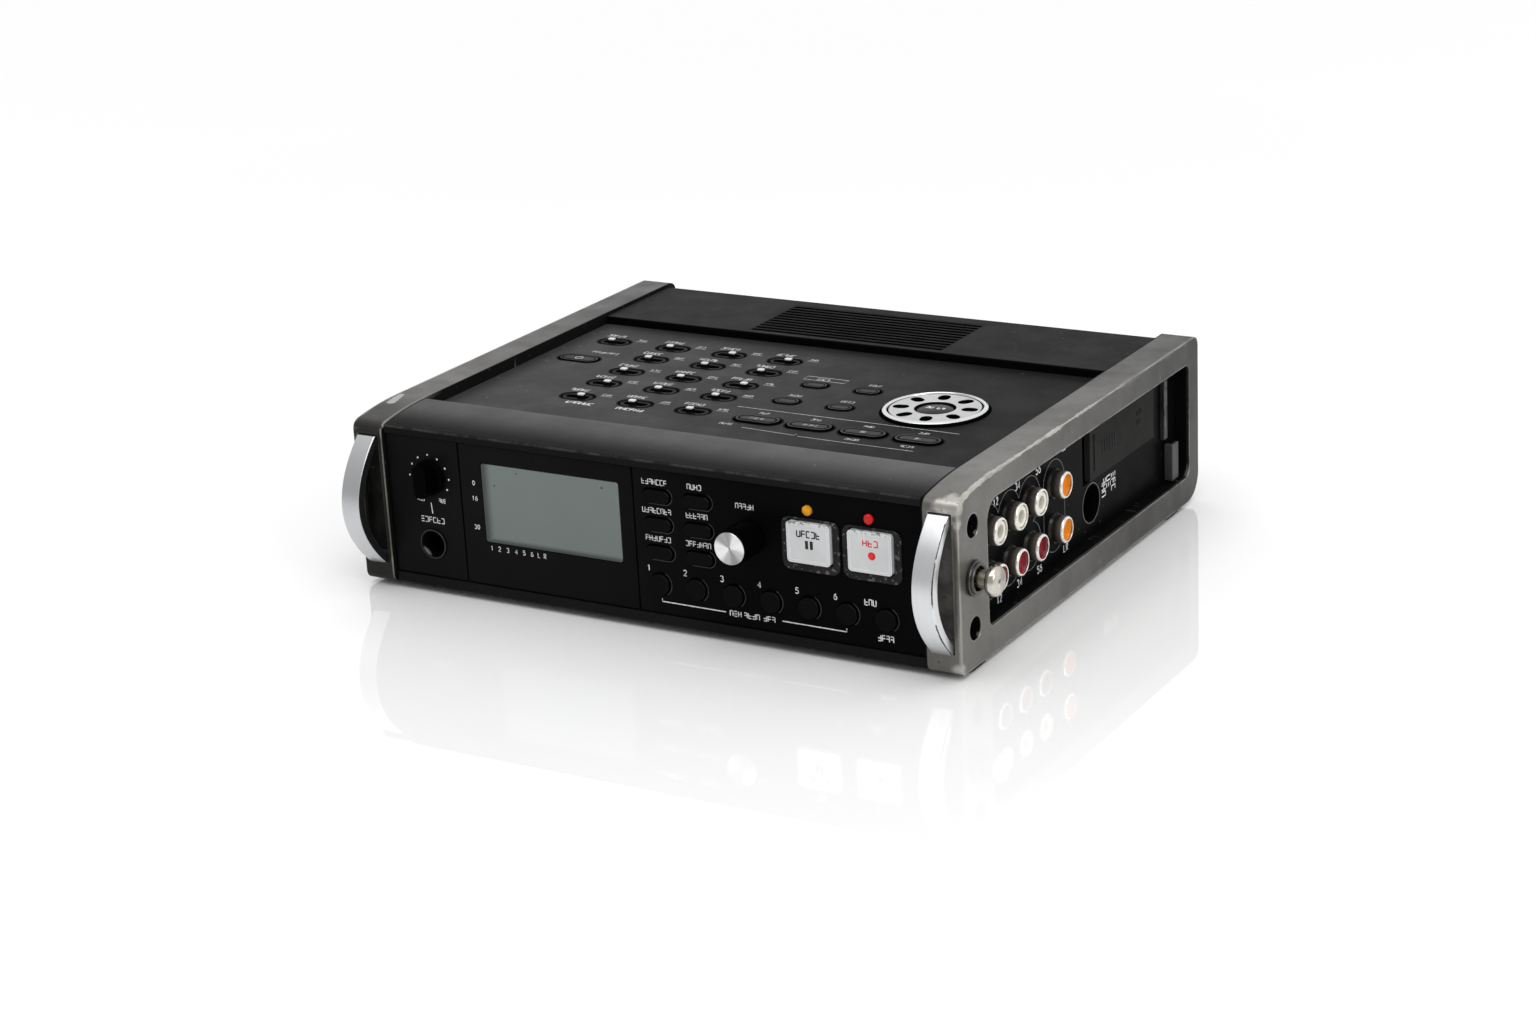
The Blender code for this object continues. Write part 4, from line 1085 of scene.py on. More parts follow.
def build_deck():
    plate = sheet("deck_plate", [oblong(-BODY_HALF, 22.6, BODY_HALF, DECK_REAR)], DECK_TOP - 2, DECK_TOP, TOP)
    recesses = [pill(SWITCH_HOLE, x, y) for _, x, y in SWITCHES]
    holes = [pill(SWITCH_SLIT, x, y) for _, x, y in SWITCHES]
    holes += [pill(hole, *spot) for _, spots, hole, *_ in DECK_BUTTONS for spot in spots]
    holes.append(circle(16.2, *SPEAKER, 96))
    cut(plate, sheet("cutouts", holes, DECK_TOP - 3, DECK_TOP + 1, TOP))
    cut(plate, sheet("recesses", recesses, DECK_TOP - 0.9, DECK_TOP + 1, TOP))
    bevel(plate, 0.2, 2, 60)
    show(plate, COVER, "top_cover")
    bezels, outlines = [], []
    for _, x, y in SWITCHES:
        bezels += [pill(SWITCH_BEZEL, x, y), pill(SWITCH_SLIT, x, y)]
        outlines += [pill(SWITCH_HOLE, x, y, more=0.9), pill(SWITCH_HOLE, x, y, more=0.1)]
    for _, spots, hole, *_ in DECK_BUTTONS:
        for spot in spots:
            outlines += [pill(hole, *spot, more=0.9), pill(hole, *spot, more=0.1)]
    bezels = sheet("switch_bezels", bezels, DECK_TOP - 1.0, DECK_TOP - 0.1, TOP, 0.25, 2)
    show(bezels, BEZEL, "top_cover")
    # Painted shade: black outlines round the switch recesses and the button holes.
    show(sheet("deck_shade_outlines", outlines, DECK_TOP - 0.05, DECK_TOP + 0.07, TOP, 0.05, 2), GLOSS)
    show(box("deck_wall", (-89.0, 129.4, 18.0), (89.0, 131.0, 51.0), 0.3), COVER, "top_cover")


def build_band():
    """Curved front of the top: a bent strip with a rounded lip."""
    outer = [(0.4, 51.2), (0.4, 53.1), (0.5, 53.5), (0.75, 53.85), (1.2, 54.05)]
    outer += band_curve(0.1, 2.2, BAND_REAR - 0.4, 24)
    inner = [(BAND_REAR - 0.4, 49.95), (BAND_REAR - 2.2, 49.95)]
    inner += band_curve(1.9, 2.3, BAND_REAR - 2.2, 8)[::-1] + [(2.3, 51.2)]
    band = sheet("front_band", [outer + inner], -BODY_HALF, BODY_HALF, SIDE, 0.15, 2, 40)
    show(band, BAND, "top_cover")


def build_lid():
    outer = [(131.5, 50.6), (131.5, 54.3)] + arc(132.2, 54.3, 0.7, 180, 90, 4)
    outer += arc(172.0, 51.0, 4.0, 0, 90, 14)[::-1] + [(176.0, 49.9)]
    inner = [(174.2, 49.9)] + arc(172.0, 51.0, 2.2, 0, 90, 8) + [(133.3, 53.2), (133.3, 50.6)]
    lid = sheet("battery_cover", [outer + inner], -BODY_HALF, BODY_HALF, SIDE)
    grooves = [rounded(73.6, 1.75, 0.6, -2.2, 135.375 + 2.95 * i, 4) for i in range(11)]
    cut(lid, sheet("grooves", grooves, 54.2, 57.0, TOP))
    bevel(lid, 0.14, 2, 55)
    show_moving(lid, LID, "battery_lid")


def build_tray():
    outer = [(0.8, 4.1), (0.8, 1.3), (1.0, 0.85), (1.6, 0.5)] + arc(172.0, 4.5, 4.0, -90, 0, 12)
    outer += [(176.0, 49.6)]
    inner = [(174.2, 49.6)] + arc(172.0, 4.5, 2.2, -90, 0, 8)[::-1] + [(2.6, 2.3), (2.6, 4.1)]
    tray = sheet("lower_tray", [outer + inner], -BODY_HALF, BODY_HALF, SIDE, 0.12, 2, 50)
    show(tray, TRAY, "bottom_tray")
    screws = []
    for x in (-84, 84):
        for z in (12, 42):
            profile = [(0, 0.95), (1.4, 0.85), (2.3, 0.5), (2.6, 0.1), (2.6, -0.2), (0, -0.2)]
            screw = turned("screw", profile, place(x, 176.0, z), BACK, 32)
            for a, b in ((0.3, 1.5), (1.5, 0.3)):
                cut(screw, box("slot", (x - a, 176.45, z - b), (x + a, 178, z + b)))
            screws.append(screw)
    show(merged("rear_screws", screws), STEEL)


def build_speaker():
    centre = place(*SPEAKER, 0)
    profile = [(0, 0.35), (5.6, 0.35), (6.2, 0.45), (6.5, 0.75), (6.8, 1.0), (14.7, 1.0), (14.85, 0.55)]
    profile += [(15.2, 0.55), (15.35, 1.15), (15.6, 1.4), (16.2, 1.35), (17.0, 0.75), (17.2, 0.35)]
    profile += [(17.2, 0.3), (15.7, 0.3), (15.7, -3.5), (14.2, -3.5), (14.2, 0.0), (0, 0.0)]
    ring = turned("speaker_grille", profile, centre, TOP, 128, DECK_TOP)
    slots = []
    for i in range(8):
        turn = Matrix.Rotation(math.radians(45 * i + 12), 2)
        points = [turn @ Vector((11.2 + u, v)) for u, v in pill((5.4, 3.8), count=10)]
        slots.append([(SPEAKER[0] + u, SPEAKER[1] + v) for u, v in points])
    cut(ring, sheet("slots", slots, DECK_TOP - 1, DECK_TOP + 3, TOP))
    bevel(ring, 0.1, 2, 60)
    show(ring, RING, "speaker_ring")
    hub = [(0, 0.95), (2.5, 0.9), (4.6, 0.72), (5.7, 0.5), (5.9, 0.3), (0, 0.3)]
    show(turned("speaker_hub", hub, centre, TOP, 64, DECK_TOP), LENS)
    mark = Print("hub_print", TOP, DECK_TOP + 0.9, 0.08)
    mark.words([(SPEAKER[0] + side, SPEAKER[1] + 0.2, 2) for side in (-2.0, 2.0)], 1.5, 0.34, 0.9, 200)
    mark.done(WHITE_INK)
    cone = [(0, -2.6), (4.0, -2.2), (13.6, -1.2), (13.9, -1.6), (13.9, -3.2), (0, -3.2)]
    show(turned("speaker_cone", cone, centre, TOP, 64, DECK_TOP), BLACK)


# ---------------------------------------------------------------- fascia


def build_fascia():
    half = BODY_HALF - 0.2
    x, z, wide, tall = DISPLAY
    holes = [rounded(wide, tall, 0.9, x, z)]
    holes += [pill((10.6, 5.0), x, z) for x in FUNCTION_COLUMNS for z in FUNCTION_ROWS]
    holes += [circle(3.8, x, TRACK_Z) for x in TRACK_X]
    holes += [rounded(15.6, 13.8, 1.4, x, KEY_Z) for x in KEYS]
    holes += [circle(1.7, x, LAMP_Z, 24) for x in LAMPS]
    holes += [circle(2.5, *VALUE, 32), circle(2.5, *PHONES, 32), circle(4.3, *JACK, 40)]
    panel = sheet("fascia", [oblong(-half, 4.6, half, 50.8)], -3.2, -PANEL_FRONT, FRONT)
    cut(panel, sheet("cutouts", holes, -4.2, 0.0, FRONT))
    for x in (-68.2, -3.2):
        cut(panel, box("seam", (x - 0.35, 0, 0), (x + 0.35, PANEL_FRONT + 0.7, 60)))
    bevel(panel, 0.12, 2, 60)
    show(panel, FASCIA, "front_panel")
    x, z, wide, tall = DISPLAY
    pane = rounded(wide - 0.6, tall - 0.6, 0.8, x, z)
    pane = sheet("display_pane", [pane], -3.8, -PANEL_FRONT - 0.12, FRONT, 0.1, 2)
    show(pane, GLASS, "display_window")
    # Light caught in the right-hand chamfers of the holes round the buttons.
    art = Print("fascia_glints", FRONT, -PANEL_FRONT, 0.02)
    for x in TRACK_X:
        art.stroke(arc(x, TRACK_Z, 3.95, -55, 62, 14), 0.24)
    for x in FUNCTION_COLUMNS:
        for z in FUNCTION_ROWS:
            art.stroke([(x - 3.0, z - 2.65)] + arc(x + 2.8, z, 2.65, -90, 70, 12), 0.22)
    art.done(GLINT)


def build_headphone_socket():
    centre = place(JACK[0], 0, JACK[1])
    profile = [(3.5, -14.8), (3.5, -1.2), (4.1, 0.1), (4.3, 0.45), (4.7, 0.6), (5.0, 0.45), (5.1, 0.05)]
    profile += [(5.1, -0.3), (4.25, -0.3), (4.25, -14.8), (3.5, -14.8)]
    show(turned("headphone_socket", profile, centre, FRONT, lift=-PANEL_FRONT), BUTTON, "front_panel")
    glint = Print("headphone_socket_glint", FRONT, -PANEL_FRONT + 0.58, 0.04)
    glint.stroke(circle(4.75, *JACK, 40), 0.22, True)
    glint.done(GLINT)
    show(rod("socket_floor", 3.9, -13.2, -12.4, centre, FRONT, 24), BLACK)


def build_lamps():
    dome = [(0, 1.35), (0.648, 1.25), (1.188, 1.0), (1.566, 0.6), (1.6, 0.15), (1.6, -2.5), (0, -2.5)]
    for name, x, look in zip(("lamp_amber", "lamp_red"), LAMPS, (AMBER, RED)):
        show(turned(name, dome, place(x, 0, LAMP_Z), FRONT, 40, -PANEL_FRONT), look)


def push_cap(name, cap, flange, plane, face, rise, edge, look):
    """Push button with a rounded cap and the wider flange that holds it behind the wall."""
    button = sheet(name + "_cap", [cap], face - 2.6, face + rise, plane, edge, 4, 55)
    join(button, sheet("flange", [flange], face - 3.8, face - 2.5, plane))
    show_moving(button, look, name)


def build_buttons():
    for group, spots, _, cap, flange, line, rise, edge, width in DECK_BUTTONS:
        for number, spot in enumerate(spots, 1):
            name = group if len(spots) == 1 else f"{group}_{number}"
            push_cap(name, pill(cap, *spot), pill(flange, *spot), TOP, DECK_TOP, rise, edge, CAP)
            # Painted shade: a black line round the rim of the cap, for the gap beside it.
            rim = Print(name + "_rim", TOP, DECK_TOP + rise)
            rim.stroke(pill(line, *spot), width, True)
            rim.done(GLOSS, name)
    spots = [(x, z) for z in FUNCTION_ROWS for x in FUNCTION_COLUMNS]
    for number, spot in enumerate(spots, 1):
        outlines = pill((9.5, 3.9), *spot), pill((11.8, 6.2), *spot)
        push_cap(f"function_button_{number}", *outlines, FRONT, -PANEL_FRONT, 0.9, 0.45, BUTTON)
    for number, x in enumerate(TRACK_X, 1):
        name = f"track_button_{number}" if number < 7 else "mix_button"
        outlines = circle(3.35, x, TRACK_Z), circle(4.5, x, TRACK_Z)
        push_cap(name, *outlines, FRONT, -PANEL_FRONT, 1.0, 0.45, BUTTON)


def build_keys():
    """Two square keys with a sunk face, in one gasket each."""
    face = -PANEL_FRONT
    rims = []
    for name, x in zip(("pause_key", "rec_key"), KEYS):
        block = [rounded(14.6, 12.8, 1.2, x, KEY_Z)]
        key = sheet(name + "_block", block, face - 3.0, face + 1.8, FRONT, 0.55, 4, 55)
        cut(key, sheet("inset", [rounded(12.9, 11.1, 0.9, x, KEY_Z)], face + 1.72, face + 3, FRONT))
        join(key, sheet("flange", [rounded(17.0, 15.0, 0.6, x, KEY_Z)], face - 4.2, face - 2.9, FRONT))
        bevel(key, 0.05, 2, 60)
        show_moving(key, ACRYLIC, name)
        ring = [rounded(19.4, 16.6, 2.6, x + 0.1, KEY_Z - 1.0), rounded(15.4, 13.6, 1.3, x, KEY_Z)]
        rims.append(sheet("rim", ring, face - 0.3, face + 0.55, FRONT, 0.25, 3))
    show(merged("key_gaskets", rims), GASKET)


def build_switches():
    for key, x, y in SWITCHES:
        name = "slide_switch_" + key
        x += 1.4 if key in SWITCH_RIGHT else -1.1
        show_moving(sheet(name + "_plate", [pill((16.0, 8.4), x, y)], 48.7, 49.8, TOP), SWITCH_PLATE, name)
        knob = sheet(name + "_knob", [rounded(2.4, 2.2, 0.4, x, y)], 49.7, 53.05, TOP, 0.1, 2, 60)
        show_moving(knob, BEZEL, name)
        cap = sheet(name + "_cap", [rounded(2.3, 1.9, 0.5, x, y)], 53.0, 53.45, TOP, 0.15, 3, 60)
        show_moving(cap, SILVER_TOP, name)


def build_knobs():
    centre = place(VALUE[0], 0, VALUE[1])
    profile = [(0, 10.6), (5.15, 10.6), (5.15, 11.0), (5.25, 11.3), (5.4, 11.35), (5.55, 11.15), (5.6, 10.8)]
    profile += [(5.6, 0.9), (5.5, 0.4), (5.2, -0.6), (2.2, -0.6), (2.2, -6.0), (0, -6.0)]
    show_moving(turned("value_wheel", profile, centre, FRONT, 96), KNOB, "value_dial")
    face = [(0, 11.1), (0.35, 11.12), (4.1, 11.3), (5.0, 11.42), (5.12, 11.3), (5.12, 10.5), (0, 10.5)]
    metal = spun_face("dial_face", place(VALUE[0], -11.3, VALUE[1]), (0.88, 0.88, 0.89))
    show_moving(turned("value_wheel_face", face, centre, FRONT, 96), metal, "value_dial")

    profile = [(0, 0.5), (5.2, 0.5), (5.6, 0.4), (5.8, 0.1), (5.8, -0.7)]
    profile += [(2.1, -0.75), (2.1, -6.0), (0, -6.0)]
    knob = turned("level_knob", profile, place(PHONES[0], 0, PHONES[1]), FRONT, 72)
    join(knob, sheet("grip", [rounded(4.8, 10.8, 1.6, *PHONES)], 0.1, 4.6, FRONT, 0.55, 4, 55))
    show_moving(knob, KNOB, "phones_level_knob")


# ---------------------------------------------------------------- side panels


def side_plate(name):
    front, rear, low, high = WINDOW
    middle_y, middle_z = (front + rear) / 2, (low + high) / 2
    length, height = rear - front - 0.6, high - low - 0.6
    plate = sheet(name, [rounded(length, height, 6.5, middle_y, middle_z, 10)], 94.8, SIDE_FACE, SIDE)
    flange = rounded(length + 5.0, height + 4.0, 2.0, middle_y, middle_z, 2)
    join(plate, sheet("flange", [flange], 94.2, 96.1, SIDE))
    hollow = rounded(length - 3.6, height - 3.6, 4.8, middle_y, middle_z, 6)
    return cut(plate, sheet("hollow", [hollow], 89.2, SIDE_FACE - 1.8, SIDE))


def scallop(columns, rows, radius):
    """Outer contour of equal circles on a grid of two rows."""
    half_u = (columns[-1] - columns[0]) / (len(columns) - 1) / 2
    half_v = abs(rows[0] - rows[1]) / 2
    a, b = (math.degrees(math.acos(half / radius)) for half in (half_u, half_v))
    last = len(columns) - 1
    points = []
    for i, u in enumerate(columns):
        start = 90 + b if i == 0 else 180 + a
        end = 450 - b if i == last else 360 - a
        points += arc(u, min(rows), radius, start, end, 20)
    for i, u in reversed(list(enumerate(columns))):
        start = -90 + b if i == last else a
        end = 270 - b if i == 0 else 180 - a
        points += arc(u, max(rows), radius, start, end, 20)
    return points


def build_socket_plate():
    floor, inner = SIDE_FACE - 10.0, SIDE_FACE - 1.8
    front, rear, low, high = CARD
    supply = place(0, *SUPPLY)
    plate = side_plate("socket_plate")
    outline = rounded(rear - front + 1.6, high - low + 1.6, 1.5, (front + rear) / 2, (low + high) / 2, 4)
    join(plate, sheet("shell", [outline], floor - 1.2, inner + 0.5, SIDE))
    join(plate, rod("barrel", 7.0, floor + 0.4, inner + 0.7, supply, SIDE, 40))
    cut(plate, box("pocket", (floor, front, low), (SIDE_FACE + 2, rear, high)))
    cut(plate, rod("bore", 6.0, floor + 1.6, SIDE_FACE + 2, supply, SIDE, 64))
    bevel(plate, 0.15, 2, 60)
    show(plate, PLATE, "connector_panel")
    rail = box("plate_rail", (inner, 158.4, 24.5), (SIDE_FACE + 1.4, 161.2, 45.6), 0.3)
    cut(rail, box("notch", (SIDE_FACE + 0.9, 157, 33.0), (SIDE_FACE + 3, 159.2, 35.0)))
    show(rail, RAIL, "connector_panel")
    # Painted reflections: pale strokes on the rail's face, beside a small printed legend.
    marks = Print("rail_glints_and_print", SIDE, SIDE_FACE + 1.4)
    marks.stroke([(159.0, 29.0), (159.0, 44.6)], 0.35)
    marks.stroke([(160.4, 36.0), (160.4, 41.5)], 0.25)
    marks.legend(159.7, 43.4, 2, 1.3, 0.3, seed=12)
    marks.done(FAINT_INK)
    pin = [(0, 5.5), (0.7, 5.4), (1.0, 5.0), (1.0, 0), (0, 0)]
    show(turned("supply_pin", pin, supply, SIDE, 24, floor + 1.4), CONTACT)


def build_phono_sockets():
    """Barrel, sleeve rim, coloured insert and centre; all but the barrel are measured from the mouth."""
    barrel = [(3.9, 0.9), (4.6, 0.9), (4.75, 0.6), (4.95, 0.2), (5.1, -0.3), (3.9, -0.3), (3.9, 0.9)]
    rim = [(3.45, -2.1), (3.45, -0.3), (3.52, -0.08), (3.68, 0.0), (3.9, -0.06), (4.15, -0.25)]
    rim += [(4.32, -0.55), (4.4, -1.0), (4.42, -1.7), (4.42, -4.0), (4.2, -4.1), (3.45, -2.1)]
    full = [(2.0, -7.1), (2.0, -0.75), (2.15, -0.45), (2.6, -0.35), (3.2, -0.45), (3.47, -0.8)]
    full += [(3.47, -7.1), (2.0, -7.1)]
    dished = [(1.3, -7.1), (1.3, -2.2), (1.6, -1.9), (2.4, -1.8), (3.1, -1.6), (3.47, -0.8)]
    dished += [(3.47, -7.1), (1.3, -7.1)]
    barrels, rims, pins = [], [], []
    inserts = {"cream": [], "crimson": [], "orange": []}
    for y in PHONO_COLUMNS:
        for z in PHONO_ROWS:
            centre = place(0, y, z)
            upper = "cream" if z == PHONO_ROWS[0] else "crimson"
            kind = "orange" if y == PHONO_COLUMNS[3] else upper
            profile, depth = (full, -2.6) if kind == "cream" else (dished, -2.7)
            barrels.append(turned("barrel", barrel, centre, SIDE, 56, SIDE_FACE))
            rims.append(turned("rim", rim, centre, SIDE, 56, PHONO_REACH))
            inserts[kind].append(turned("insert", profile, centre, SIDE, 48, PHONO_REACH))
            pins.append(rod("pin", 2.05, -6.9, depth, place(PHONO_REACH, y, z), SIDE, 20))
    for name, pieces, look in (
        ("barrels", barrels, GUNMETAL),
        ("rims", rims, SLEEVE),
        ("inserts_cream", inserts["cream"], CREAM),
        ("inserts_crimson", inserts["crimson"], CRIMSON),
        ("inserts_orange", inserts["orange"], ORANGE),
        ("centres", pins, HOLLOW),
    ):
        show(merged("phono_" + name, pieces), look, "connector_panel")


def build_plate_print():
    art = Print("plate_outlines", SIDE, SIDE_FACE)
    art.stroke(scallop(PHONO_COLUMNS[:3], PHONO_ROWS, 7.7), 0.2, True)
    y, (high, low) = PHONO_COLUMNS[3], PHONO_ROWS
    art.stroke(arc(y, low, 7.6, 180, 360, 24) + arc(y, high, 7.6, 0, 180, 24), 0.2, True)
    art.stroke(circle(6.5, *SUPPLY, 56), 0.2, True)
    art.done(FAINT_INK)
    art = Print("plate_print", SIDE, SIDE_FACE)
    spots = ((35.4, 42.3), (50.4, 42.6), (64.9, 43.1), (36.2, 11.2), (50.2, 11.6), (64.4, 11.2), (83.4, 11.8))
    for text, spot in zip(("12", "34", "56", "12", "34", "56", "LR"), spots):
        art.digit(text, *spot, 2.3, 0.4)
    art.legend(y + 7.6, high + 9.4, 2, 1.9, 0.34, seed=3)
    for n, (u, v, letters) in enumerate(((112.6, 22.4, 3), (116.3, 23.4, 2), (120.0, 22.4, 3))):
        art.legend(u, v, letters, 2.8, 0.42, seed=11 + n, turn=-1)
    art.done(WHITE_INK)


def build_card_door():
    middle = (CARD[2] + CARD[3]) / 2
    half = (CARD[3] - CARD[2]) / 2 - 0.3
    low, high = middle - half, middle + half
    leaf = sheet("slot_door", [oblong(101.6, low, HINGE[1], high)], 101.3, 103.3, SIDE)
    cut(leaf, sheet("grip", [rounded(1.6, 12.5, 0.6, 104.4, middle, 4)], 102.9, 105.0, SIDE))
    bevel(leaf, 0.2, 2, 55)
    join(leaf, rod("knuckle", 1.2, low + 0.02, high - 0.02, place(*HINGE, 0), TOP, 32))
    show_moving(leaf, DOOR, "card_door")
    marks = Print("door_relief", SIDE, 103.3, 0.12)
    for n in range(6):
        y = 111.0 + 2.0 * n
        marks.stroke([(y, middle - 2.6 + 0.3 * (n % 3)), (y, middle + 2.2 - 0.4 * (n % 2))], 0.7)
    marks.words(((140.0, middle + 3.0, 3), (140.0, middle, 3)), 1.7, 0.3, 0.78, 20)
    marks.done(BLACK, "card_door")


def build_hook():
    outline = [(103.1, 160.4), (106.2, 160.4), (106.2, 165.6), (104.9, 165.6), (104.9, 162.0), (103.1, 162.0)]
    show(sheet("lead_hook", [outline], 9.8, 22.4, TOP, 0.35, 3, 60), GREY, "cord_hook")


def build_inputs():
    face, inner = SIDE_FACE, SIDE_FACE - 1.8
    ring = [(11.0, 0.5), (12.2, 0.5), (12.9, 0.25), (13.0, -0.1), (11.0, -0.1), (11.0, 0.5)]
    collar = [(3.5, 0.5), (4.3, 0.4), (4.4, 0.0), (3.5, 0.0), (3.5, 0.5)]
    nut = [(3.5, 1.3), (4.2, 1.3), (4.4, 1.1), (4.4, 0.8), (6.2, 0.75), (6.5, 0.5), (6.5, 0.25)]
    nut += [(3.5, 0.25), (3.5, 1.3)]
    plate = side_plate("input_plate")
    rings, latches, washers = [], [], []
    for y in COMBO_Y:
        centre = place(0, y, COMBO_Z)
        join(plate, rod("insert", 12.2, inner - 11, inner + 0.7, centre, SIDE, 48))
        cut(plate, rod("mouth", 11.0, face - 5.0, face + 2, centre, SIDE, 72))
        cut(plate, rod("bore", 3.4, inner - 9.5, face, centre, SIDE, 36))
        for u, v in arc(y, COMBO_Z, 7.0, 90, 330, 2):
            cut(plate, rod("contact", 1.4, inner - 8.5, face, place(0, u, v), SIDE, 16))
        rings.append(turned("ring", ring, centre, SIDE, 72, face))
        washers.append(turned("collar", collar, centre, SIDE, 40, face - 5.0))
        low, high = (face - 1.5, y - 2.6, COMBO_Z + 9.3), (face + 0.9, y + 2.6, COMBO_Z + 12.2)
        latches.append(box("latch", low, high, 0.3))
    for y, z in LINE_JACKS:
        centre = place(0, y, z)
        join(plate, rod("jack", 5.4, inner - 11, face + 0.3, centre, SIDE, 48))
        cut(plate, rod("bore", 3.4, inner - 9.5, face + 3, centre, SIDE, 36))
        washers.append(turned("nut", nut, centre, SIDE, 48, face))
    bevel(plate, 0.12, 2, 60)
    show(mirror(plate), PLATE, "input_panel")
    show(mirror(merged("combo_rings", rings)), BUTTON)
    show(mirror(merged("combo_latches", latches)), GREY)
    show(mirror(merged("socket_washers", washers)), WASHER)
    art = Print("input_print", LEFT, face)
    spots = [(9.5 - y, COMBO_Z + 13.6) for y in COMBO_Y] + [(8.6 - y, z + 4.0) for y, z in LINE_JACKS]
    for number, spot in enumerate(spots, 1):
        art.digit(str(number), *spot, 2.0, 0.34)
    art.done(WHITE_INK)


def build_inside():
    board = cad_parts["main_board"].data.materials
    board.clear()
    board.append(BOARD)
    cells, caps = [], []
    for low, high in ((-51.0, -1.7), (1.7, 51.0)):
        profile = [(0, high - 0.2), (6.6, high - 0.2), (7.1, high - 0.6), (7.15, high - 1.2)]
        profile += [(7.15, low + 1.2), (7.1, low + 0.6), (6.6, low + 0.2), (0, low + 0.2)]
        for y in (145.9, 161.7):
            for z in (25.2, 41.0):
                cells.append(turned("cell", profile, place(0, y, z), SIDE, 48))
                for end in (low + 0.1, high - 0.9):
                    caps.append(rod("cap", 5.6, end, end + 0.8, place(0, y, z), SIDE, 32))
    plates = []
    for x, half in ((-52.3, 1.2), (0, 1.5), (52.3, 1.2)):
        plates.append(box("plate", (x - half, 136.8, 17.0), (x + half, 170.7, 48.6), 0.4))
    plates.append(box("cradle", (-53.7, 136.5, 2.7), (53.7, 171.0, 18.6), 0.6))
    show(merged("battery_cells", cells), WRAP, "battery_pack")
    show(merged("battery_ends", caps), CONTACT, "battery_pack")
    show(merged("battery_plates", plates), BLACK, "battery_pack")


# ---------------------------------------------------------------- printed marks


def print_fascia():
    art = Print("fascia_print", FRONT, -PANEL_FRONT)
    for i in range(6):
        art.digit(str(i + 1), 0.9 + 13.06 * i, 18.9, 1.85, 0.3)
    art.words(((78.0, 18.7, 3), (82.7, 8.0, 4)), 1.8, 0.34, 0.78, 4)
    art.stroke([(5.1, 9.4), (5.1, 8.4), (27.8, 8.3)], 0.34)
    art.stroke([(47.6, 8.3), (69.6, 8.2), (69.6, 9.3)], 0.34)
    art.words(((31.2, 8.2, 3), (36.9, 8.2, 4), (43.0, 8.2, 3)), 1.6, 0.3, 0.9, 30)
    for text, v in (("0", 38.2), ("16", 33.1), ("30", 23.5)):
        art.digit(text, -63.0, v, 1.4, 0.22)
    for text, u in zip("123456LR", (-57.9, -55.0, -51.8, -48.6, -45.6, -42.6, -40.0, -37.7)):
        art.digit(text, u, 17.1, 1.5, 0.22)
    dots = ((-87.8, 37.9), (-86.6, 41.7), (-84.1, 44.1), (-80.3, 45.4))
    dots += ((-76.6, 44.3), (-73.8, 41.6), (-72.6, 38.0), (-73.6, 34.5))
    for spot in dots:
        art.fill(circle(0.33, *spot, 12))
    art.stroke([(-80.4, 29.4), (-80.1, 25.7)], 0.36)
    art.legend(-84.2, 30.3, 3, 1.2, 0.26, seed=6)
    art.legend(-75.9, 30.5, 3, 1.2, 0.28, seed=7)
    art.legend(-80.3, 23.6, 6, 1.7, 0.26, 0.92, seed=8)
    spots = ((4.7, 47.0, 7), (18.9, 47.1, 4), (5.0, 37.8, 8), (19.3, 37.9, 6))
    spots += ((5.0, 28.8, 7), (19.3, 28.8, 7))
    art.words(spots, 1.6, 0.25, 0.82, 40)
    art.legend(36.3, 43.2, 5, 1.6, 0.25, 0.82, seed=50)
    art.done(WHITE_INK)


def print_deck():
    art = Print("deck_print", TOP, DECK_TOP)
    for n, (_, x, y) in enumerate(SWITCHES):
        art.legend(x - 3.2, y + 6.4, 5, 2.0, 0.38, 0.72, seed=60 + n)
        art.legend(x + 8.6, y + 4.6, 3, 1.4, 0.26, 0.8, seed=90 + n)
        art.stroke([(x + 6.9, y + 3.0), (x + 11.2, y + 3.0)], 0.22)
    art.words([(x - 0.6, y + 6.4, 4) for x, y in MENU], 1.5, 0.28, 0.8, 120)
    art.stroke(oblong(3.0, 97.0, 18.1, 100.4), 0.28, True)
    art.stroke([(-2.0, 62.8), (77.5, 62.6)], 0.26)
    art.stroke([(10.6, 44.1), (30.2, 42.9), (30.2, 44.2)], 0.24)
    art.stroke([(31.6, 42.5), (46.7, 42.2), (72.0, 42.2)], 0.24)
    art.words([(x - 1.4, y + 6.8, 3) for x, y in TRANSPORT], 1.5, 0.28, 0.8, 130)
    art.words([(x, 45.6, 4) for x in (4.0, 49.0, 68.0)], 1.5, 0.28, 0.8, 140)
    art.legend(-76.0, 99.6, 7, 1.7, 0.3, 0.9, seed=150)
    art.done(DIM_INK)
    big = Print("deck_print_lower", TOP, DECK_TOP)
    big.words(((-52.2, 47.2, 6), (-33.0, 47.2, 6)), 1.9, 0.36, 0.9, 160)
    big.done(WHITE_INK)


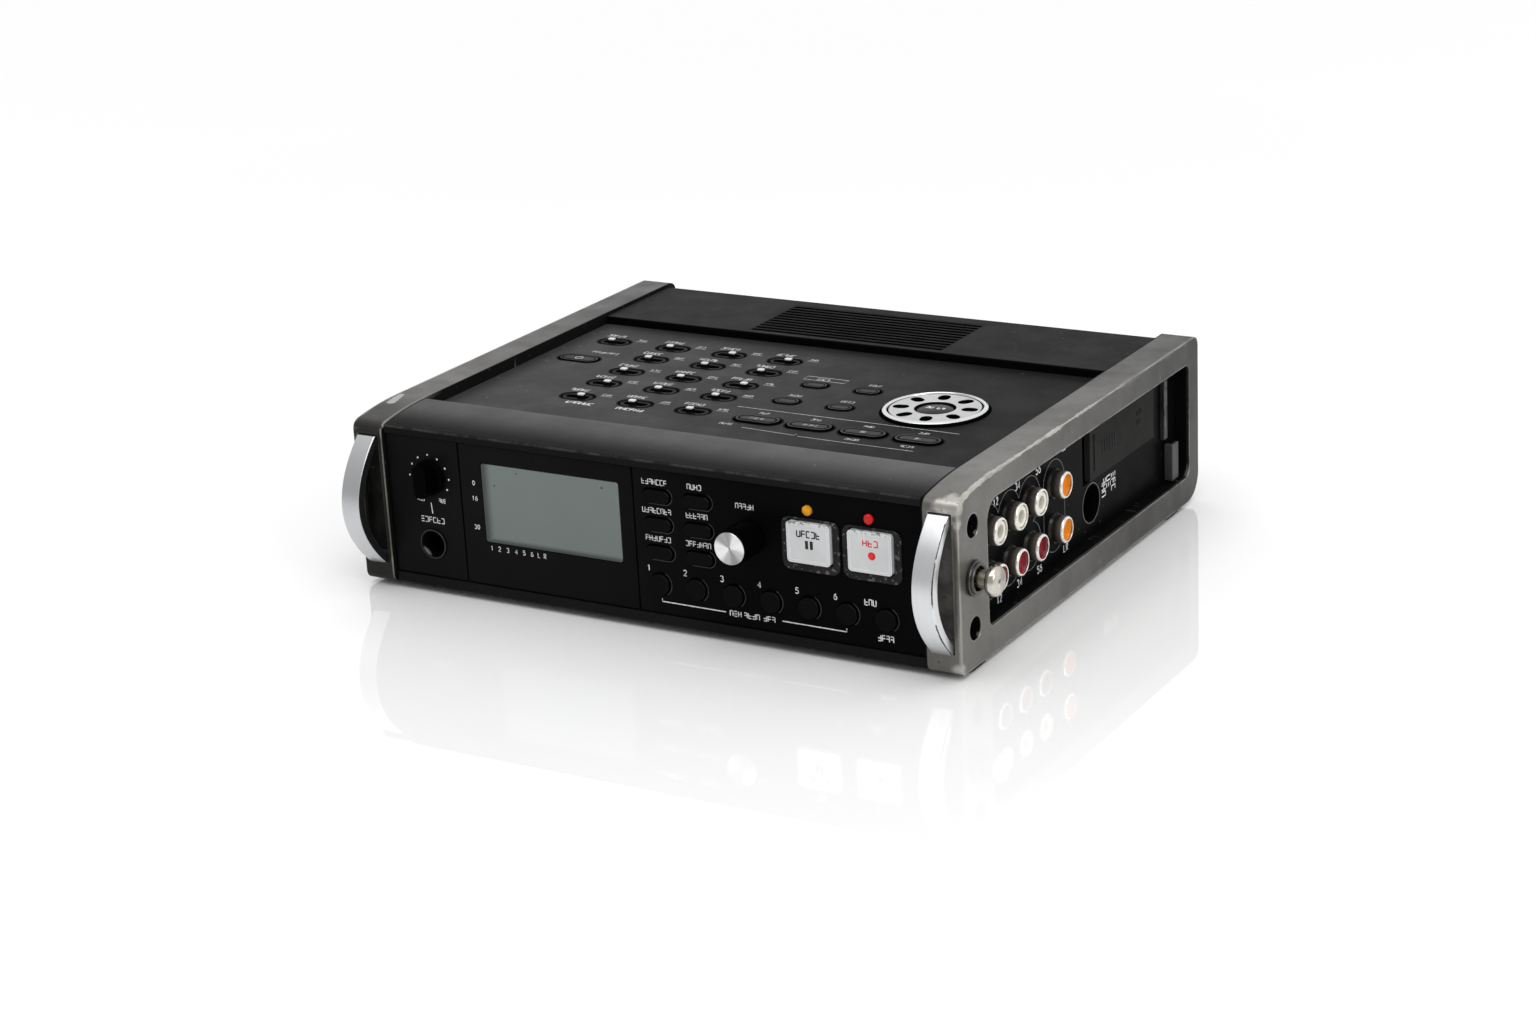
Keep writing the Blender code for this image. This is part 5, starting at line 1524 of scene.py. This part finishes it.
def print_buttons():
    for n, (x, y) in enumerate(TRANSPORT, 1):
        mark = Print(f"transport_mark_{n}", TOP, DECK_TOP + 0.5)
        if n < 3:
            side = -1 if n == 1 else 1
            for shift in (-1.1, 1.1):
                tip, tail = x + side * 1.0 + shift, x - side * 1.0 + shift
                mark.fill([(tip, y), (tail, y + side * 1.0), (tail, y - side * 1.0)])
            mark.stroke([(x + side * 2.5, y - 1.0), (x + side * 2.5, y + 1.0)], 0.4)
        elif n == 3:
            mark.fill(oblong(x - 0.9, y - 0.9, x + 0.9, y + 0.9))
        else:
            mark.fill([(x - 1.0, y - 1.1), (x + 1.2, y), (x - 1.0, y + 1.1)])
        mark.done(FAINT_INK, f"transport_button_{n}")
    x, y = POWER
    mark = Print("power_mark", TOP, DECK_TOP + 0.3)
    mark.stroke(arc(x, y, 1.3, 120, 420, 16), 0.3)
    mark.stroke([(x, y + 0.4), (x, y + 1.9)], 0.3)
    mark.done(DIM_INK, "power_button")


def print_keys():
    (pause, record), face = KEYS, -PANEL_FRONT + 1.72
    mark = Print("pause_mark", FRONT, face)
    for x in (pause - 0.5, pause + 1.1):
        mark.fill(oblong(x - 0.5, KEY_Z - 1.7, x + 0.5, KEY_Z + 0.9))
    mark.legend(pause + 0.1, KEY_Z + 2.9, 5, 1.9, 0.4, 0.86, seed=170)
    mark.done(DARK_INK, "pause_key")
    mark = Print("rec_mark", FRONT, face)
    mark.fill(circle(1.25, record + 0.7, KEY_Z - 0.9, 28))
    mark.legend(record + 0.3, KEY_Z + 2.9, 3, 1.8, 0.38, 1.0, seed=171)
    mark.done(RED_INK, "rec_key")


for word, side, paint, bar in (("right", 1, PAINT_RIGHT, BAR_RIGHT), ("left", -1, PAINT_LEFT, BAR_LEFT)):
    build_frame(word, side, paint)
    build_handle(word, side, bar)
    build_stud(word, side)
for part in (build_deck, build_band, build_lid, build_tray, build_speaker, build_fascia):
    part()
for part in (build_headphone_socket, build_lamps, build_buttons, build_keys, build_switches, build_knobs):
    part()
for part in (build_socket_plate, build_phono_sockets, build_plate_print, build_card_door, build_hook):
    part()
for part in (build_inputs, build_inside, print_fascia, print_deck, print_buttons, print_keys):
    part()


# ---------------------------------------------------------------- studio

shape = bmesh.new()
bmesh.ops.create_grid(shape, x_segments=12, y_segments=12, size=6.0)
floor = formed("studio_floor", shape)
floor.data.materials.append(studio_gloss("floor_gloss"))

scene = bpy.context.scene
scene.view_settings.view_transform = "Standard"
scene.world = bpy.data.worlds.new("studio_sky")
scene.world.use_nodes = True
tree = scene.world.node_tree
sky = tree.nodes["Background"]
coords = tree.nodes.new("ShaderNodeTexCoord")
parts = tree.nodes.new("ShaderNodeSeparateXYZ")
tree.links.new(coords.outputs["Generated"], parts.inputs[0])
ramp = tree.nodes.new("ShaderNodeMapRange")
ramp.interpolation_type = "SMOOTHSTEP"
for socket, value in zip(("From Min", "From Max", "To Min", "To Max"), (-0.75, 0.35, 0.55, 1.05)):
    ramp.inputs[socket].default_value = value
tree.links.new(parts.outputs[1], ramp.inputs["Value"])
tree.links.new(ramp.outputs[0], sky.inputs["Strength"])
sky.inputs["Color"].default_value = (1.0, 1.0, 1.0, 1.0)


def softbox(name, at, target, size, power):
    data = bpy.data.lights.new(name, "AREA")
    data.shape = "RECTANGLE"
    data.size, data.size_y = size
    data.energy = power
    obj = link(name, data)
    obj.location = at
    obj.rotation_euler = (Vector(target) - Vector(at)).to_track_quat("-Z", "Y").to_euler()


softbox("key_light", (0.1, -0.45, 1.35), (0, 0, 0), (1.3, 1.0), 9.0)
softbox("side_light", (1.2, -0.5, 0.7), (0.1, -0.04, 0.03), (0.6, 0.6), 3.0)

# Camera solved from the photograph, in millimetres of the CAD frame.
azimuth, elevation, roll = (math.radians(a) for a in (31.07, 19.08, -2.99))
flat = math.cos(elevation)
back = Vector((math.sin(azimuth) * flat, -math.cos(azimuth) * flat, math.sin(elevation)))
level = UP.cross(back).normalized()
rise = back.cross(level)
right = math.cos(roll) * level + math.sin(roll) * rise
upward = math.cos(roll) * rise - math.sin(roll) * level
eye = Vector((0, 2.2, 29.5)) - 4.26 * right - 17.42 * upward + 1003.56 * back
data = bpy.data.cameras.new("camera")
data.sensor_width = 36.0
data.lens = 71.7382
data.clip_start, data.clip_end = 0.05, 50.0
camera = link("camera", data)
camera.matrix_world = upright((right, upward, back), eye * MM)
scene.camera = camera
